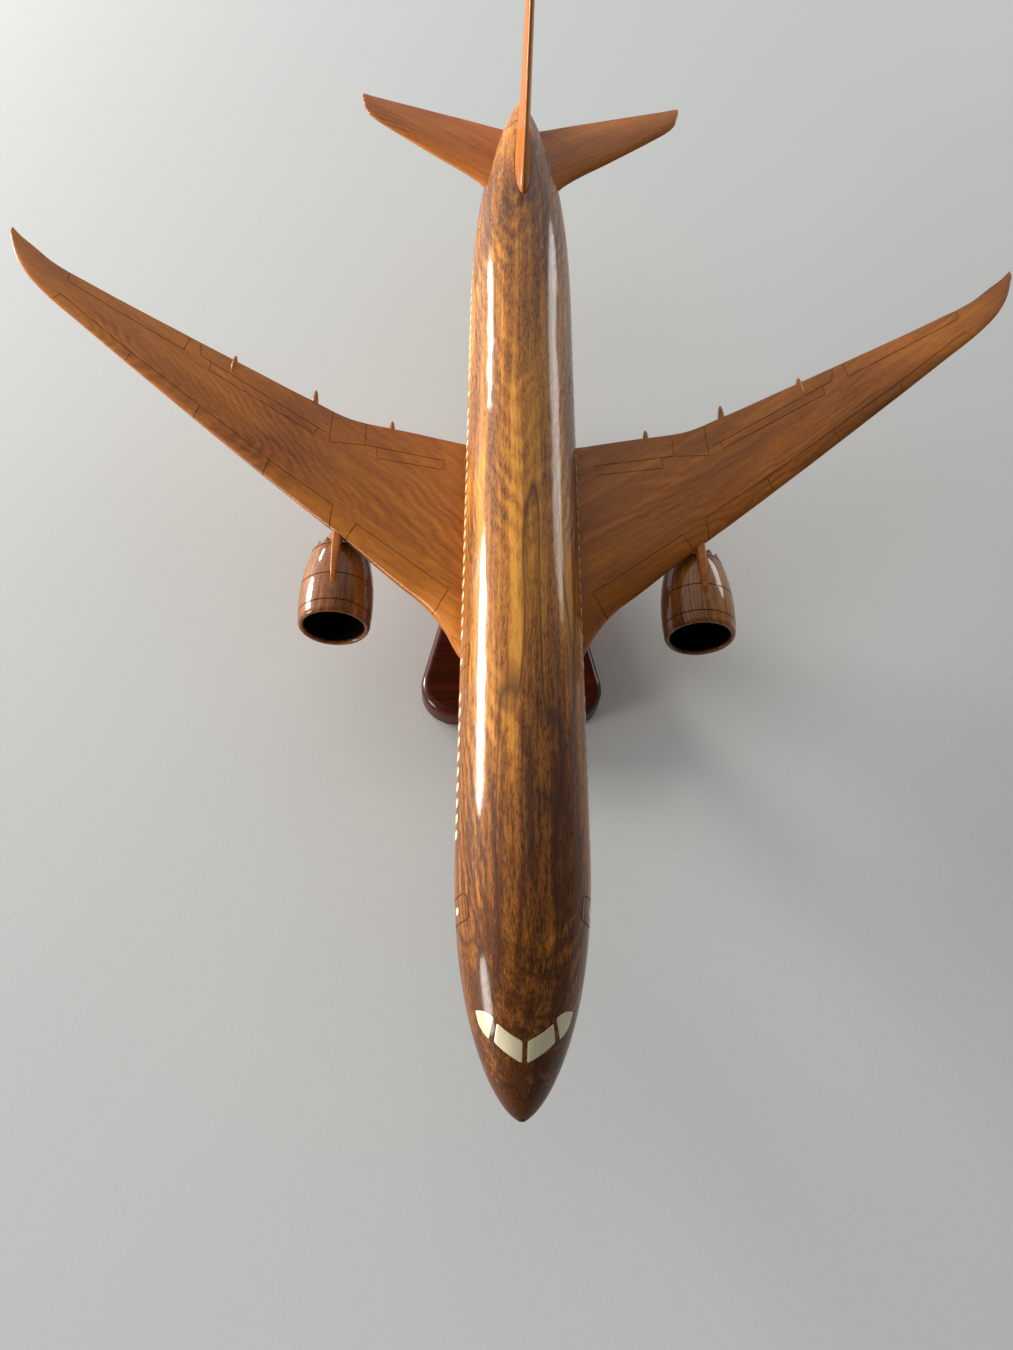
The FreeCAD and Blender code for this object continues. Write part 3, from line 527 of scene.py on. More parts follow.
class Foil:
    """A wing, tailplane or fin as smooth functions of the distance along its span."""

    def __init__(self, ribs, height, crown=1.0):
        spans = [rib[0] for rib in ribs]
        self.first, self.last = spans[0], spans[-1]
        self.nose = smooth_line(spans, [rib[1] for rib in ribs])
        self.tail = smooth_line(spans, [rib[2] for rib in ribs])
        self.thick = smooth_line(spans, [rib[3] for rib in ribs])
        self.height = height
        self.crown = crown

    def offset(self, span, share, upper):
        """Half thickness at a share of the chord."""
        swell = 2.969 * math.sqrt(share) - 1.26 * share - 3.516 * share**2
        swell += 2.843 * share**3 - 1.036 * share**4
        half = self.thick(span) * swell / 2 + EDGE_THICKNESS / 2 * share
        return half * self.crown if upper else -half * (2 - self.crown)

    def top(self, span, station):
        """The upper surface at a point seen in plan."""
        nose, tail = self.nose(span), self.tail(span)
        share = min(max((station - nose) / (tail - nose), 0.0), 1.0)
        return Vector((span, station, self.height(span) + self.offset(span, share, True)))

    def ring(self, span, steps):
        """Points round the section, from the trailing edge over the top."""
        nose, tail = self.nose(span), self.tail(span)
        shares = [(1 - math.cos(math.pi * step / steps)) / 2 for step in range(steps + 1)]
        upper = [(share, self.offset(span, share, True)) for share in shares[::-1]]
        lower = [(share, self.offset(span, share, False)) for share in shares[1:]]
        middle = self.height(span)
        return [Vector((span, between(nose, tail, s), middle + o)) for s, o in upper + lower]

    def skin(self, rows, steps, start=None):
        """The whole foil, its rings closer together towards the tip."""
        first = self.first if start is None else start
        spans = [between(first, self.last, math.sin(math.pi / 2 * row / rows)) for row in
                 range(rows + 1)]
        rings = [self.ring(span, steps) for span in spans]
        tip = rings[-1]
        middle = sum(tip, Vector()) / len(tip)
        for shrink, out in ((0.75, 0.35), (0.4, 0.55)):
            rings.append([middle + (p - middle) * shrink + Vector((out, 0, 0)) for p in tip])
        return loft(rings)


def wing_height(span):
    return -12.0 + 0.073 * (span - 30.0) + 0.00026 * max(0.0, span - 200.0) ** 2


def tail_height(span):
    return 15.0 + 0.01 * span


WING = Foil(WING_RIBS, wing_height, 1.15)
TAILPLANE = Foil(TAIL_RIBS, tail_height)
FIN = Foil(FIN_RIBS, lambda level: 0.0)


def handed(points, hand):
    """The same points on the left, or mirrored on the right."""
    return [Vector((p.x * hand, p.y, p.z)) for p in points]


def line_channel(foil, line, hand):
    """A scribed line on the upper side of a foil, through corners given in plan."""
    points, normals = [], []
    for (x0, y0), (x1, y1) in zip(line, line[1:]):
        pieces = max(2, round(math.hypot(x1 - x0, y1 - y0) / 4))
        for step in range(pieces + 1):
            if step == 0 and points:
                continue
            span = between(x0, x1, step / pieces)
            station = between(y0, y1, step / pieces)
            inside = (foil.nose(span) - 0.4, foil.tail(span) + 0.4)
            station = min(max(station, inside[0]), inside[1])
            points.append(foil.top(span, station))
            normals.append(Vector((0, 0, 1)))
    return channel(handed(points, hand), normals, LINE_WIDTH, WING_LINE_DEPTH, False)


def build_wings():
    pieces = []
    for hand, name in ((1, "left"), (-1, "right")):
        points, faces = WING.skin(150, 40, 22.0)
        piece = add_mesh("wing_" + name + "_skin", handed(points, hand), faces, "aircraft",
                         "wing_wood", ["wing_" + name])
        carve(piece, [line_channel(WING, line, hand) for line in WING_LINES])
        soften(piece, 35.0)
        pieces.append(piece)
    return pieces


def build_tailplanes():
    pieces = []
    for hand, name in ((1, "left"), (-1, "right")):
        points, faces = TAILPLANE.skin(70, 28)
        piece = add_mesh("tailplane_" + name + "_skin", handed(points, hand), faces, "aircraft",
                         "wing_wood", ["tailplane_" + name])
        soften(piece, 40.0)
        pieces.append(piece)
    return pieces


def upright(points):
    """A foil drawn flat, stood up as the fin."""
    return [Vector((p.z, p.y, p.x)) for p in points]


def build_fin():
    points, faces = FIN.skin(70, 28)
    piece = add_mesh("fin_skin", upright(points), faces, "aircraft", "wing_wood", ["fin"])
    soften(piece, 40.0)
    return piece


def fin_seam():
    """The joint line in the hull round the foot of the fin."""
    points, normals = [], []
    for flat in FIN.ring(FIN_FOOT, 40):
        station = flat.y
        if station == FIN.nose(FIN_FOOT):
            station -= 0.3
        turn = turn_at_side(station, flat.z + math.copysign(LINE_WIDTH / 2, flat.z))
        points.append(hull_point(station, turn))
        normals.append(Vector((0, 0, 1)))
    return channel(points, normals, LINE_WIDTH, SEAM_DEPTH, True)


# ------------------------------------------------------------------ engines

ENGINE_SIDE = 93.9
ENGINE_STATION = 230.3
ENGINE_LEVEL = -26.5
COWL_LENGTH = 48.0
TEETH = 14
TOOTH = 3.6
COWL_SIDES = TEETH * 16
RINGS_AFT = (6.4, 22.0, 42.5)
RING_HALF_WIDTH = 0.32
RING_DEPTH = 0.55
LIP_RADIUS = 3.2
LIP_MIDDLE = 16.75
LIP_HALF_WIDTH = 1.65
COWL_BOW = 110.0
BOW_MIDDLE = (14.58, -91.02)


def cowl_radius(aft):
    """The barrel's outer radius: one long bow from the lip to the nozzle."""
    middle, centre = BOW_MIDDLE
    return centre + math.sqrt(COWL_BOW**2 - (aft - middle) ** 2)


def cowl_profile():
    """(aft, radius) from the nozzle's inner edge, out over the skin and into the intake."""
    skin = []
    for step in range(60):
        aft = between(COWL_LENGTH - 0.3, LIP_RADIUS, step / 59)
        if all(abs(aft - ring) > 0.55 for ring in RINGS_AFT):
            skin.append((aft, cowl_radius(aft)))
    for ring in RINGS_AFT:
        radius = cowl_radius(ring)
        foot = RING_HALF_WIDTH - 0.08
        skin += [(ring + RING_HALF_WIDTH, radius), (ring + foot, radius - RING_DEPTH),
                 (ring - foot, radius - RING_DEPTH), (ring - RING_HALF_WIDTH, radius)]
    skin.sort(reverse=True)
    lip = []
    for step in range(1, 14):
        turn = math.pi * step / 14
        lip.append((LIP_RADIUS * (1 - math.sin(turn)),
                    LIP_MIDDLE + LIP_HALF_WIDTH * math.cos(turn)))
    inside = [(LIP_RADIUS, LIP_MIDDLE - LIP_HALF_WIDTH), (8.0, 14.5), (16.0, 14.1), (26.0, 14.0),
              (31.0, 14.0)]
    web = [(31.0, 9.0), (31.0, 0.01)]
    back = [(36.0, 0.01), (36.0, 12.6), (44.0, 12.8), (COWL_LENGTH, 13.0), (COWL_LENGTH, 13.9)]
    return back + skin + lip + inside + web


def toothed(aft, turn):
    """Draws the back edge of the cowl into a row of teeth."""
    start = 43.2
    if aft <= start:
        return aft
    phase = (turn * TEETH / (2 * math.pi)) % 1
    notch = TOOTH * (1 - abs(2 * phase - 1))
    return start + (aft - start) * (COWL_LENGTH - notch - start) / (COWL_LENGTH - start)


def spun(profile, sides, shape_aft=None):
    """Rings of a turned piece about the engine's own axis."""
    rings = []
    for aft, radius in profile:
        ring = []
        for side in range(sides):
            turn = 2 * math.pi * side / sides
            where = shape_aft(aft, turn) if shape_aft else aft
            ring.append(Vector((radius * math.sin(turn), where, radius * math.cos(turn))))
        rings.append(ring)
    return rings


def engine_points(points, hand):
    middle = Vector((ENGINE_SIDE * hand, ENGINE_STATION, ENGINE_LEVEL))
    return [middle + p for p in points]


CORE = [(31.0, 0.01), (31.0, 3.0), (36.0, 3.0), (36.0, 9.4), (40.0, 9.7), (45.0, 9.5),
        (51.0, 8.5), (56.0, 7.2), (56.2, 7.0), (56.2, 5.2), (55.6, 4.9), (58.0, 4.3), (61.0, 3.2),
        (64.0, 1.9), (65.6, 0.9), (66.0, 0.01)]


def build_engines():
    cowls, cores = [], []
    for hand, name in ((1, "left"), (-1, "right")):
        points, faces = loft(spun(cowl_profile(), COWL_SIDES, toothed), caps=False)
        cowl = add_mesh("engine_cowl_" + name + "_barrel", engine_points(points, hand), faces,
                        "aircraft", "engine_wood", ["engine_cowl_" + name])
        soften(cowl, 40.0)
        cowls.append(cowl)
        points, faces = loft(spun(CORE, 64), caps=False)
        core = add_mesh("exhaust_core_" + name + "_cone", engine_points(points, hand), faces,
                        "aircraft", "engine_wood", ["exhaust_core_" + name])
        soften(core, 30.0)
        cores.append(core)
    return cowls, cores


def pylon_skin():
    """An upright wedge with rounded edges, from a narrow tip on the cowl back under the wing. It
    is drawn as slices across the flight direction, aft of the intake lip."""
    top = smooth_line([15.0, 20.0, 32.0, 46.0, 60.0, 82.0], [18.6, 20.4, 21.2, 20.4, 18.5, 15.6])
    foot = smooth_line([15.0, 36.0, 48.0, 52.0, 60.0, 82.0], [17.0, 15.0, 12.5, 8.0, 8.0, 15.0])
    half = smooth_line([15.0, 16.0, 18.0, 46.0, 60.0, 82.0], [0.4, 0.9, 1.2, 2.4, 2.4, 0.5])
    rings = []
    for row in range(91):
        aft = between(15.0, 82.0, (row / 90) ** 1.3)
        high, low = top(aft), foot(aft)
        ring = []
        for side, up in squircle(32, 0.35):
            ring.append(Vector((side * half(aft), ENGINE_STATION + aft,
                                ENGINE_LEVEL + between(low, high, (up + 1) / 2))))
        rings.append(ring)
    return loft(rings)


# Flap fairings: distance out, station of the tip, drop below the middle of the wing.
FAIRINGS = [(70.5, 356.5, -3.5), (113.5, 373.0, -2.5), (159.5, 392.5, -1.5)]
CANOE_RADII = (19.0, 2.2, 3.3)


def canoe(across, tip, drop):
    """A slim fairing under the wing, longer along the flight direction."""
    rings = []
    level = wing_height(across) + drop
    long, wide, deep = CANOE_RADII
    for row in range(41):
        share = (1 - math.cos(math.pi * row / 40)) / 2
        swell = max(math.sin(math.pi * row / 40), 0.04)
        ring = []
        for side, up in squircle(24, 0.85):
            ring.append(Vector((across + side * wide * swell, tip - 2 * long * (1 - share),
                                level + up * deep * swell)))
        rings.append(ring)
    return loft(rings)


def build_pylons_and_fairings():
    pieces = []
    for hand, name in ((1, "left"), (-1, "right")):
        points, faces = pylon_skin()
        middle = Vector((ENGINE_SIDE * hand, 0, 0))
        blade = add_mesh("pylon_" + name + "_blade", [middle + p for p in points], faces,
                         "aircraft", "wing_wood", ["pylon_" + name])
        points, faces = joined([canoe(*fairing) for fairing in FAIRINGS])
        canoes = add_mesh("flap_fairings_" + name + "_canoes", handed(points, hand), faces,
                          "aircraft", "wing_wood", ["flap_fairings_" + name])
        for piece in (blade, canoes):
            soften(piece, 40.0)
            pieces.append(piece)
    return pieces


# ------------------------------------------------------------------ stand

BASE = {"front": 212.0, "rear": 398.0, "side": 31.0, "wide": 20.0, "small": 18.0}
BASE_LOW = 1.0
BASE_HIGH = 15.0
POST_HIGH = 53.0
PEG_STATION = 312.0


def base_outline():
    """Rounded triangle in plan: points and outward directions, in stations."""
    front = BASE["front"] + BASE["wide"]
    rear = BASE["rear"] - BASE["small"]
    lean = math.atan2(BASE["side"], rear - front)
    spread = math.hypot(BASE["side"], rear - front)
    turn = lean + math.asin((BASE["small"] - BASE["wide"]) / spread)
    arcs = [
        ((BASE["side"], front), BASE["wide"], -math.pi / 2, turn, 28),
        ((0.0, rear), BASE["small"], turn, math.pi - turn, 36),
        ((-BASE["side"], front), BASE["wide"], math.pi - turn, 3 * math.pi / 2, 28),
    ]
    points = []
    for (x, y), radius, start, end, steps in arcs:
        for step in range(steps + 1):
            way = between(start, end, step / steps)
            points.append((x, y, radius, math.cos(way), math.sin(way)))
    return points


def build_base():
    edge = 4.5
    levels = [(0.6, BASE_LOW), (0.0, BASE_LOW + 0.6), (0.0, BASE_HIGH - edge)]
    for step in range(1, 13):
        turn = math.pi / 2 * step / 12
        levels.append((edge * (1 - math.cos(turn)), BASE_HIGH - edge * (1 - math.sin(turn))))
    levels.append((edge + 3.0, BASE_HIGH))
    rings = []
    for inset, level in levels:
        ring = []
        for x, y, radius, across, along in base_outline():
            reach = radius - inset
            ring.append(Vector((x + reach * across, y + reach * along + NOSE, level)))
        rings.append(ring)
    points, faces = loft(rings)
    piece = add_mesh("stand_base_block", points, faces, "stand", "stand_wood", ["stand_base"],
                     on_table)
    soften(piece, 40.0)
    return piece


def build_post():
    """The oval column, flared at its foot, its top edge eased."""
    share_knots = [0.0, 0.55, 1.0]
    length = smooth_line(share_knots, [24.0, 15.0, 17.0])
    width = smooth_line(share_knots, [13.0, 8.0, 9.5])
    levels = [(step / 40, 0.0) for step in range(41)]
    levels += [(1.0, 0.5), (1.0, 1.2), (1.0, 4.0)]
    rings = []
    for share, inset in levels:
        height = between(BASE_HIGH, POST_HIGH, share)
        height -= 0.6 if share == 1.0 and inset == 0.0 else 0.0
        height -= 0.2 if inset == 0.5 else 0.0
        ring = []
        for side in range(72):
            turn = 2 * math.pi * side / 72
            ring.append(Vector(((width(share) - inset) * math.cos(turn),
                                PEG_STATION + NOSE + (length(share) - inset) * math.sin(turn),
                                height)))
        rings.append(ring)
    points, faces = loft(rings)
    piece = add_mesh("stand_post_column", points, faces, "stand", "stand_wood", ["stand_post"],
                     on_table)
    soften(piece, 40.0)
    return piece


# ------------------------------------------------------------------ materials


class Nodes:
    """Short ways to add and join the nodes of one material."""

    def __init__(self, name):
        self.material = bpy.data.materials.new(name)
        self.material.use_nodes = True
        self.tree = self.material.node_tree
        self.shader = self.tree.nodes["Principled BSDF"]
        self.place = self.node("ShaderNodeTexCoord").outputs["Object"]

    def node(self, kind, **inputs):
        made = self.tree.nodes.new(kind)
        for name, value in inputs.items():
            self.feed(made.inputs[name.replace("_", " ")], value)
        return made

    def feed(self, socket, value):
        if isinstance(value, bpy.types.NodeSocket):
            self.tree.links.new(value, socket)
        else:
            socket.default_value = value

    def axis(self, letter):
        """The point's X, Y or Z in the object's own metres."""
        return self.node("ShaderNodeSeparateXYZ", Vector=self.place).outputs[letter]

    def mapped(self, scale, turn=(0, 0, 0), move=(0, 0, 0), source=None):
        mapping = self.node("ShaderNodeMapping", Vector=source or self.place)
        mapping.inputs["Rotation"].default_value = [math.radians(angle) for angle in turn]
        mapping.inputs["Scale"].default_value = scale
        mapping.inputs["Location"].default_value = move
        return mapping.outputs["Vector"]

    def noise(self, vector, scale, detail=4.0, roughness=0.55, distortion=0.0, colour=False):
        made = self.node("ShaderNodeTexNoise", Vector=vector, Scale=scale, Detail=detail,
                         Roughness=roughness, Distortion=distortion)
        return made.outputs["Color" if colour else "Fac"]

    def ramp(self, value, *stops):
        """A colour ramp through (position, colour or grey) stops."""
        made = self.node("ShaderNodeValToRGB", Fac=value)
        band = made.color_ramp
        for index, (position, colour) in enumerate(stops):
            stop = band.elements[index] if index < 2 else band.elements.new(position)
            stop.position = position
            stop.color = (*colour, 1) if isinstance(colour, tuple) else (colour,) * 3 + (1,)
        return made.outputs["Color"]

    def sum(self, operation, a, b, clamp=False):
        """Any operation of the Math node; a function of one number leaves b unused."""
        made = self.tree.nodes.new("ShaderNodeMath")
        made.operation = operation
        made.use_clamp = clamp
        self.feed(made.inputs[0], a)
        self.feed(made.inputs[1], b)
        return made.outputs[0]

    def mix(self, share, a, b):
        made = self.tree.nodes.new("ShaderNodeMix")
        made.data_type = "RGBA"
        self.feed(made.inputs["Factor"], share)
        self.feed(made.inputs["A"], (*a, 1) if isinstance(a, tuple) else a)
        self.feed(made.inputs["B"], (*b, 1) if isinstance(b, tuple) else b)
        return made.outputs["Result"]

    def bump(self, height, distance, strength=1.0):
        made = self.node("ShaderNodeBump", Height=height, Distance=distance, Strength=strength)
        return made.outputs["Normal"]

    def set(self, **inputs):
        for name, value in inputs.items():
            self.feed(self.shader.inputs[name.replace("_", " ")], value)
        return self.material


def stretch(paint, value, low, high, to_low=0.0, to_high=1.0):
    """A value spread out so that low to high covers the whole of another range."""
    made = paint.node("ShaderNodeMapRange", Value=value, From_Min=low, From_Max=high,
                      To_Min=to_low, To_Max=to_high)
    return made.outputs["Result"]


def warped(paint, vector, slow, amount):
    """The coordinates pushed about by slow noise, so that straight figure wanders."""
    pull = paint.node("ShaderNodeVectorMath", Vector=slow)
    pull.operation = "SUBTRACT"
    pull.inputs[1].default_value = (0.5, 0.5, 0.5)
    push = paint.node("ShaderNodeVectorMath", Vector=pull.outputs[0])
    push.operation = "SCALE"
    push.inputs["Scale"].default_value = amount
    bent = paint.node("ShaderNodeVectorMath", Vector=vector)
    bent.operation = "ADD"
    paint.feed(bent.inputs[1], push.outputs[0])
    return bent.outputs[0]


def wood(name, dark, mid, light, *, turn=(0, 0, 0), seed=0.0, ring=1.6, tilt=(9, 0, 4),
         bands=0.5, streaks=0.35, veins=0.6, flecks=0.7, patches=0.4, roughness=0.42, coat=0.5,
         coat_roughness=0.08, wobble=0.3, dimmed=(), painted_shade=None):
    """Varnished wood. Its grain runs along Y once turned; ring is the spacing of the growth
    rings in millimetres, and tilt leans their axis so that the surface cuts across them. Each
    entry of dimmed is (axis, from, to, share): the colour darkens along that axis; this serves for
    the wood's own tone and for painted shade. The painted shade is a function of the material
    that gives 1 where near-black painted shade, with no coat, stands in for the shade inside a
    recess."""
    paint = Nodes(name)
    grain = paint.mapped((1, 1, 1), turn, (seed, seed * 0.7, seed * 1.3))
    slow = paint.noise(paint.mapped((16, 3.5, 16), source=grain), 1.0, 3.0, 0.5, 0.4, True)
    leaning = paint.mapped((1, 1, 1), tuple(a + b for a, b in zip(turn, tilt)), (0.004, 0, 0.02))
    split = paint.node("ShaderNodeSeparateXYZ", Vector=warped(paint, leaning, slow, 0.026))
    x, z = split.outputs["X"], split.outputs["Z"]
    square = paint.sum("ADD", paint.sum("MULTIPLY", x, x), paint.sum("MULTIPLY", z, z))
    turns = paint.sum("MULTIPLY", paint.sum("SQRT", square, 0.0), 1000.0 / ring)
    spacing = paint.noise(paint.mapped((38, 30, 38), source=grain), 1.0, 3.0, 0.6)
    turns = paint.sum("ADD", turns, paint.sum("MULTIPLY", spacing, 2.6))
    wave = paint.sum("SINE", paint.sum("MULTIPLY", turns, 2 * math.pi), 0.0)
    uneven = stretch(paint, paint.noise(paint.mapped((34, 12, 34), source=grain), 1.0, 2.0),
                     0.40, 0.62, 0.0, 1.0)
    rings = paint.sum("MULTIPLY", wave, uneven)

    # Fibres run the whole length; flecks are the short dark pores between them.
    bent = warped(paint, grain, slow, 0.008)
    streak = stretch(paint, paint.noise(paint.mapped((190, 4.5, 190), source=bent), 1.0, 5.0, 0.65),
                     0.34, 0.66, -1.0, 1.0)
    fibre = stretch(paint, paint.noise(paint.mapped((800, 45, 800), source=bent), 1.0, 4.0, 0.7),
                    0.32, 0.68, -1.0, 1.0)
    cloud = stretch(paint, paint.noise(paint.mapped((24, 6, 24), source=grain), 1.0, 3.0, 0.5, 0.6),
                    0.33, 0.67, -1.0, 1.0)
    tone = 0.5
    for value, share in ((rings, bands), (streak, streaks), (fibre, 0.22), (cloud, patches)):
        tone = paint.sum("ADD", tone, paint.sum("MULTIPLY", value, share * 0.5))
    # Each entry darkens the tone along an axis: the wood's own tone, and painted shade where a
    # caller passes one; the flecks crowd where the tone is dark, so they follow both.
    for axis, begin, end, share in dimmed:
        tone = paint.sum("SUBTRACT", tone,
                         stretch(paint, paint.axis(axis), begin, end, 0.0, share))
    fleck = stretch(paint, paint.noise(paint.mapped((1300, 210, 1300), source=bent), 1.0, 2.0,
                                       0.55), 0.50, 0.60)
    pore = stretch(paint, paint.noise(paint.mapped((2300, 300, 2300), source=bent), 1.0, 1.0),
                   0.56, 0.66)
    crowded = stretch(paint, tone, 0.85, 0.25, 0.25, 1.0)
    contour = paint.noise(paint.mapped((34, 2.2, 34), source=bent), 1.0, 2.0, 0.45, 0.3)
    vein = stretch(paint, paint.sum("ABSOLUTE", paint.sum("SUBTRACT", contour, 0.5), 0.0), 0.0,
                   0.012, 1.0, 0.0)
    colour = paint.ramp(tone, (0.05, dark), (0.5, mid), (0.95, light))
    spots = paint.sum("MULTIPLY", paint.sum("MAXIMUM", fleck, pore), crowded)
    holes = paint.sum("MAXIMUM", paint.sum("MULTIPLY", spots, flecks),
                      paint.sum("MULTIPLY", vein, veins), clamp=True)
    colour = paint.mix(holes, colour, tuple(part * 0.35 for part in dark))
    # Painted shade: where the mask is 1 the colour turns near black and the coat is taken off,
    # standing in for the shade inside a recess.
    if painted_shade:
        black = painted_shade(paint)
        colour = paint.mix(black, colour, (0.0012, 0.0006, 0.0003))
        coat = stretch(paint, black, 0.0, 1.0, coat, 0.0)
    height = paint.sum("SUBTRACT", paint.sum("MULTIPLY", fibre, 0.3), holes)
    ripple = paint.sum("ADD", paint.noise(paint.mapped((75, 20, 75), source=grain), 1.0, 2.0),
                       paint.sum("MULTIPLY", fibre, 0.022))
    gloss = stretch(paint, streak, -1.0, 1.0, roughness - 0.06, roughness + 0.06)
    return paint.set(
        Base_Color=colour, Roughness=gloss, Normal=paint.bump(height, 0.00005, 0.4),
        Coat_Weight=coat, Coat_Roughness=coat_roughness, IOR=1.45, Specular_IOR_Level=0.12,
        Coat_Normal=paint.bump(ripple, 0.0006, wobble))


def hull_wood():
    """Streaky golden-brown teak under a clear varnish, darker towards the nose, with painted shade
    darkening the +X side of the hull, away from the lights.
    """
    # Painted shade: the X entry of dimmed darkens the +X side, away from the lights; the Y entry is
    # the wood's own darker tone at the nose.
    return wood("hull_teak", (0.125, 0.033, 0.003), (0.40, 0.130, 0.010), (0.78, 0.33, 0.036),
                seed=0.31, ring=3.1, tilt=(9, 0, 5), bands=0.30, streaks=0.6, veins=0.8,
                flecks=0.75, patches=0.45, roughness=0.5, coat=0.62, coat_roughness=0.07,
                wobble=0.6, dimmed=[("Y", -0.11, -0.31, 0.45), ("X", 0.004, 0.022, 0.22)])


def wing_wood(name, turn, seed):
    """Even red-brown wood under a satin varnish; the grain runs out along the span."""
    return wood(name, (0.20, 0.050, 0.004), (0.40, 0.116, 0.009), (0.62, 0.205, 0.018),
                turn=turn, seed=seed, ring=2.2, tilt=(4, 6, 3), bands=0.24, streaks=0.25,
                veins=0.0, flecks=0.28, patches=0.5, roughness=0.5, coat=0.35,
                coat_roughness=0.16)


def bore_painted_shade(paint):
    """Painted shade: 1 on the walls of the intake, where near-black colour stands in for the shade
    deep inside it, 0 from just inside its lip outwards and behind its web.
    """
    across = paint.sum("SUBTRACT", paint.sum("ABSOLUTE", paint.axis("X"), 0.0), ENGINE_SIDE * MM)
    up = paint.sum("SUBTRACT", paint.axis("Z"), (ENGINE_LEVEL + AXIS) * MM)
    square = paint.sum("ADD", paint.sum("MULTIPLY", across, across),
                       paint.sum("MULTIPLY", up, up))
    front = stretch(paint, paint.axis("Y"), (ENGINE_STATION + NOSE + 34.0) * MM,
                    (ENGINE_STATION + NOSE + 33.0) * MM)
    inner = stretch(paint, paint.sum("SQRT", square, 0.0), 16.0 * MM, 15.2 * MM)
    return paint.sum("MULTIPLY", front, inner)


def engine_wood():
    """Mid-brown turned wood, its grain along the barrel, with near-black painted shade inside the
    intake.
    """
    return wood("engine_teak", (0.10, 0.026, 0.004), (0.30, 0.095, 0.013), (0.48, 0.18, 0.030),
                seed=0.57, ring=1.7, tilt=(3, 0, 3), bands=0.35, streaks=0.4, veins=0.2,
                flecks=0.5, patches=0.5, roughness=0.45, coat=0.75, coat_roughness=0.06,
                painted_shade=bore_painted_shade)


def stand_wood():
    """Dark red-brown wood under a glossy varnish, its grain across the base."""
    return wood("stand_mahogany", (0.022, 0.0022, 0.0005), (0.060, 0.0065, 0.0012),
                (0.12, 0.016, 0.003), turn=(0, 0, 86), seed=0.83, ring=3.0, tilt=(8, 0, 4),
                bands=0.35, streaks=0.4, veins=0.2, flecks=0.4, patches=0.45, roughness=0.4,
                coat=0.45, coat_roughness=0.05)


def dowel_wood():
    """Bare birch dowel."""
    return wood("dowel_birch", (0.42, 0.25, 0.12), (0.58, 0.40, 0.22), (0.70, 0.52, 0.32),
                seed=0.12, ring=1.2, tilt=(2, 0, 2), bands=0.3, veins=0.0, flecks=0.15,
                patches=0.2, roughness=0.62, coat=0.0)


def inlay_wood():
    """Cream veneer let into the hull, a little uneven in colour."""
    paint = Nodes("cream_inlay")
    grain = paint.noise(paint.mapped((700, 45, 300)), 1.0, 4.0, 0.6)
    cloud = paint.noise(paint.mapped((110, 90, 110)), 1.0, 2.0)
    colour = paint.ramp(grain, (0.3, (0.66, 0.56, 0.34)), (0.7, (0.80, 0.71, 0.48)))
    colour = paint.mix(0.3, colour, paint.ramp(cloud, (0.3, (0.62, 0.49, 0.27)),
                                               (0.7, (0.84, 0.77, 0.56))))
    return paint.set(Base_Color=colour, Roughness=paint.ramp(cloud, (0.3, 0.3), (0.7, 0.42)),
                     Normal=paint.bump(grain, 0.00003, 0.5), Coat_Weight=0.3,
                     Coat_Roughness=0.15)


def metal(name, colour, roughness, scratch):
    """Turned metal: fine rings of tool marks and a little unevenness."""
    paint = Nodes(name)
    marks = paint.noise(paint.mapped((600, 600, 9000)), 1.0, 3.0, 0.6)
    cloud = paint.noise(paint.place, 130.0, 3.0)
    darker = tuple(0.72 * part for part in colour)
    return paint.set(
        Base_Color=paint.ramp(cloud, (0.35, darker), (0.65, colour)), Metallic=1.0,
        Roughness=paint.ramp(marks, (0.3, roughness), (0.7, roughness + 0.16)),
        Normal=paint.bump(marks, 0.00002, scratch))


def felt():
    """Green baize: matted fibres and a soft sheen."""
    paint = Nodes("green_felt")
    fibres = paint.noise(paint.place, 2600.0, 4.0, 0.7, 1.5)
    lumps = paint.noise(paint.place, 260.0, 3.0)
    colour = paint.ramp(fibres, (0.3, (0.010, 0.032, 0.018)), (0.7, (0.035, 0.095, 0.052)))
    return paint.set(Base_Color=colour, Roughness=0.95, Sheen_Weight=0.35, Sheen_Roughness=0.5,
                     Normal=paint.bump(paint.sum("ADD", fibres, lumps), 0.0003, 0.8))


def finish_with(piece, material):
    piece.data.materials.clear()
    piece.data.materials.append(material)


def paint_everything(made):
    wing_turned = {"left": wing_wood("wing_teak_left", (0, 0, 52), 0.71),
                   "right": wing_wood("wing_teak_right", (0, 0, -52), 0.43)}
    fin_wood = wing_wood("fin_teak", (-50, 0, 0), 0.22)
    finishes = {
        "hull_wood": hull_wood(),
        "engine_wood": engine_wood(),
        "stand_wood": stand_wood(),
        "dowel_wood": dowel_wood(),
        "window_inlay": inlay_wood(),
        "brass": metal("turned_brass", (0.72, 0.47, 0.17), 0.22, 0.35),
        "steel": metal("bright_steel", (0.56, 0.56, 0.55), 0.24, 0.35),
        "felt": felt(),
    }
    for piece in made:
        name = piece.name
        if piece["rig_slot"] != "wing_wood":
            finish_with(piece, finishes[piece["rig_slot"]])
        elif name.startswith("fin"):
            finish_with(piece, fin_wood)
        else:
            finish_with(piece, wing_turned["left" if "left" in name else "right"])
    slots = {part["node"]: part["material_slot"] for part in frame["record"]["subparts"]}
    for name, node in frame["nodes"].items():
        if not node.hide_render:
            finish_with(node, finishes[slots[name]])
            soften_cad(node)


# ------------------------------------------------------------------ room, camera and light

CAMERA = {"place": (-0.02736, -0.34035, 0.51946), "yaw": 5.131, "pitch": 61.77, "roll": 6.065,
          "lens": 27.0}


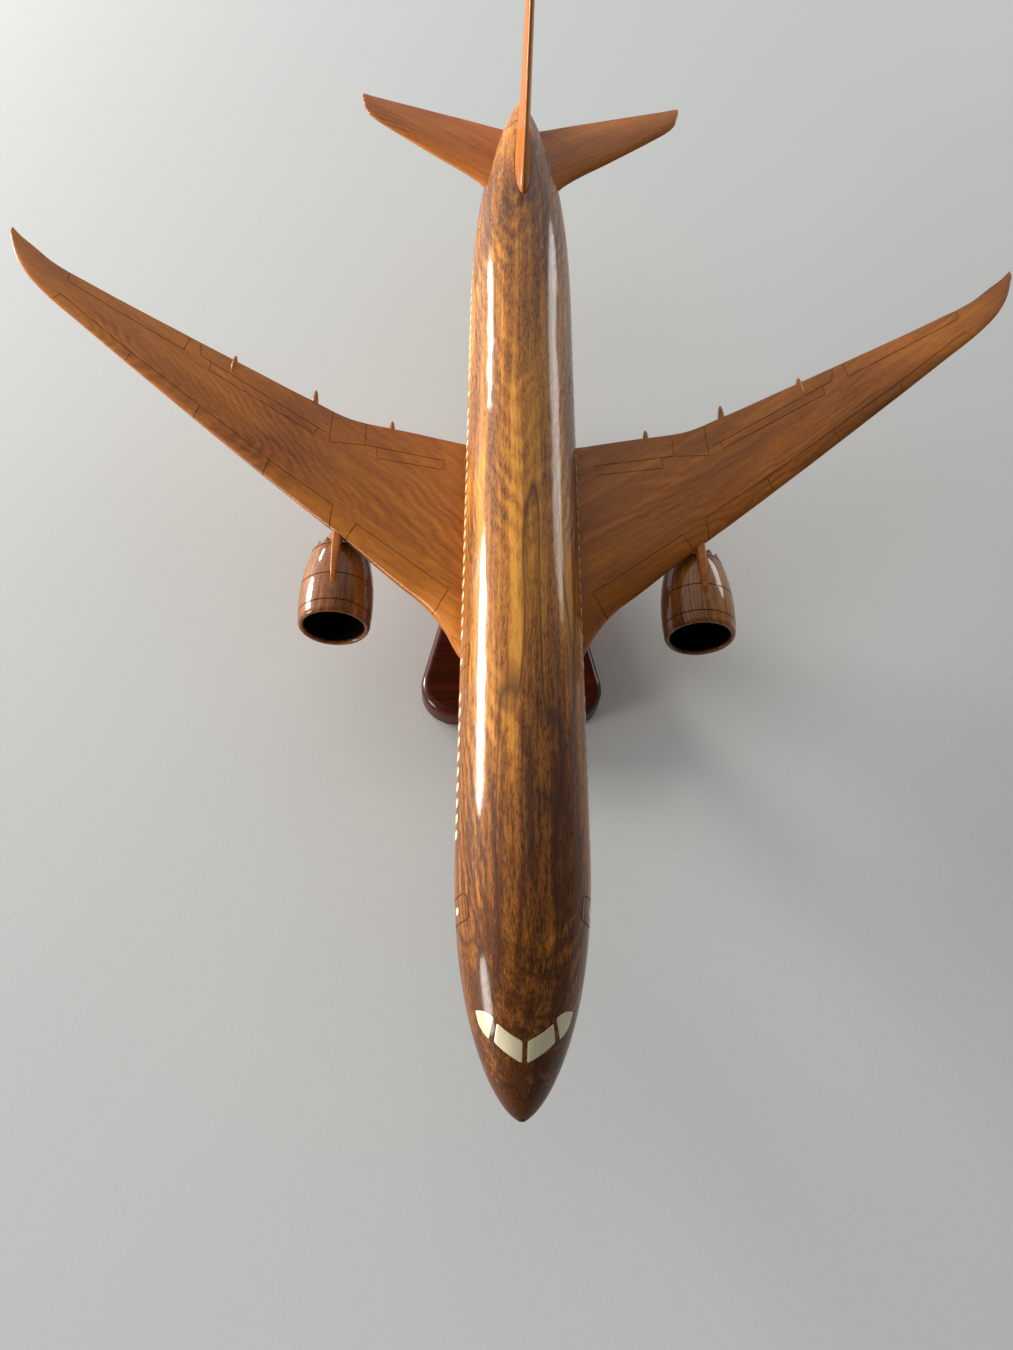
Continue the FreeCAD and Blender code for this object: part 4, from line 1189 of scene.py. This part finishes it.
def add_camera():
    yaw, pitch, roll = (math.radians(CAMERA[name]) for name in ("yaw", "pitch", "roll"))
    forward = Vector((math.sin(yaw) * math.cos(pitch), math.cos(yaw) * math.cos(pitch),
                      -math.sin(pitch)))
    across = Vector((math.cos(yaw), -math.sin(yaw), 0))
    up = across.cross(forward)
    right = across * math.cos(roll) + up * math.sin(roll)
    head = up * math.cos(roll) - across * math.sin(roll)
    data = bpy.data.cameras.new("camera")
    data.lens = CAMERA["lens"]
    data.sensor_width = 36.0
    data.clip_start = 0.01
    camera = bpy.data.objects.new("camera", data)
    bpy.context.scene.collection.objects.link(camera)
    camera.matrix_world = Matrix.Translation(CAMERA["place"]) @ Matrix(
        (right, head, -forward)).transposed().to_4x4()
    bpy.context.scene.camera = camera


# Soft lights: bearing in degrees, distance away, height, width, tallness and power. Three stand to
# the left, low and far enough away to rake across the table, and a weak one to the right.
LIGHTS = {
    "window_far": (131, 2.2, 0.50, 0.36, 0.20, 16.0),
    "window_middle": (155, 2.2, 0.33, 0.76, 0.60, 62.0),
    "window_near": (204, 2.8, 0.50, 1.10, 1.00, 46.0),
    "window_right": (44, 2.4, 0.60, 1.20, 0.70, 13.0),
}
LIT_POINT = (0, 0, 0.12)
FLOOR_HALF = 3.2
# The sky brightens towards this side.
BRIGHT_SIDE = (-0.55, 0.83, 0.0)


def add_light(name, location, wide, tall, power):
    """A soft oval light that faces the model."""
    data = bpy.data.lights.new(name, "AREA")
    data.energy = power
    data.color = (1.0, 0.99, 0.95)
    data.shape = "ELLIPSE"
    data.size = wide
    data.size_y = tall
    light = bpy.data.objects.new(name, data)
    bpy.context.scene.collection.objects.link(light)
    light.location = location
    facing = Vector(LIT_POINT) - Vector(location)
    light.rotation_euler = facing.to_track_quat("-Z", "Y").to_euler()


def add_floor():
    """A plain pale table top."""
    corners = [(-FLOOR_HALF, -FLOOR_HALF, 0), (FLOOR_HALF, -FLOOR_HALF, 0),
               (FLOOR_HALF, FLOOR_HALF, 0), (-FLOOR_HALF, FLOOR_HALF, 0)]
    mesh = bpy.data.meshes.new("floor")
    mesh.from_pydata(corners, [], [(0, 1, 2, 3)])
    floor = bpy.data.objects.new("floor", mesh)
    bpy.context.scene.collection.objects.link(floor)
    paint = Nodes("pale_floor")
    speck = paint.noise(paint.place, 900.0, 3.0)
    finish_with(floor, paint.set(
        Base_Color=paint.ramp(speck, (0.3, (0.66, 0.665, 0.65)), (0.7, (0.70, 0.705, 0.69))),
        Roughness=0.75))


def add_sky():
    """A dim, even sky that brightens towards one side."""
    world = bpy.data.worlds.new("sky")
    world.use_nodes = True
    tree = world.node_tree
    place = tree.nodes.new("ShaderNodeTexCoord")
    facing = tree.nodes.new("ShaderNodeVectorMath")
    facing.operation = "DOT_PRODUCT"
    facing.inputs[1].default_value = BRIGHT_SIDE
    band = tree.nodes.new("ShaderNodeMapRange")
    band.interpolation_type = "SMOOTHSTEP"
    for name, value in (("From Min", -0.3), ("From Max", 0.95), ("To Min", 0.17), ("To Max", 0.90)):
        band.inputs[name].default_value = value
    sky = tree.nodes["Background"]
    sky.inputs["Color"].default_value = (0.95, 0.98, 1.0, 1)
    tree.links.new(place.outputs["Generated"], facing.inputs[0])
    tree.links.new(facing.outputs["Value"], band.inputs["Value"])
    tree.links.new(band.outputs["Result"], sky.inputs["Strength"])
    bpy.context.scene.world = world


def add_lights():
    for name, (bearing, away, height, wide, tall, power) in LIGHTS.items():
        angle = math.radians(bearing)
        add_light(name, (away * math.cos(angle), away * math.sin(angle), height), wide, tall, power)


# ------------------------------------------------------------------ the whole object


def soften_cad(node):
    """Smooth shading on a carried-over piece."""
    for polygon in node.data.polygons:
        polygon.use_smooth = True


made = [build_fuselage(), *build_inlays(), *build_wings(), *build_tailplanes(), build_fin()]
cowls, cores = build_engines()
made += cowls + cores + build_pylons_and_fairings() + [build_base(), build_post()]
paint_everything(made)
add_camera()
add_floor()
add_sky()
add_lights()
bpy.context.scene.view_settings.view_transform = "Standard"
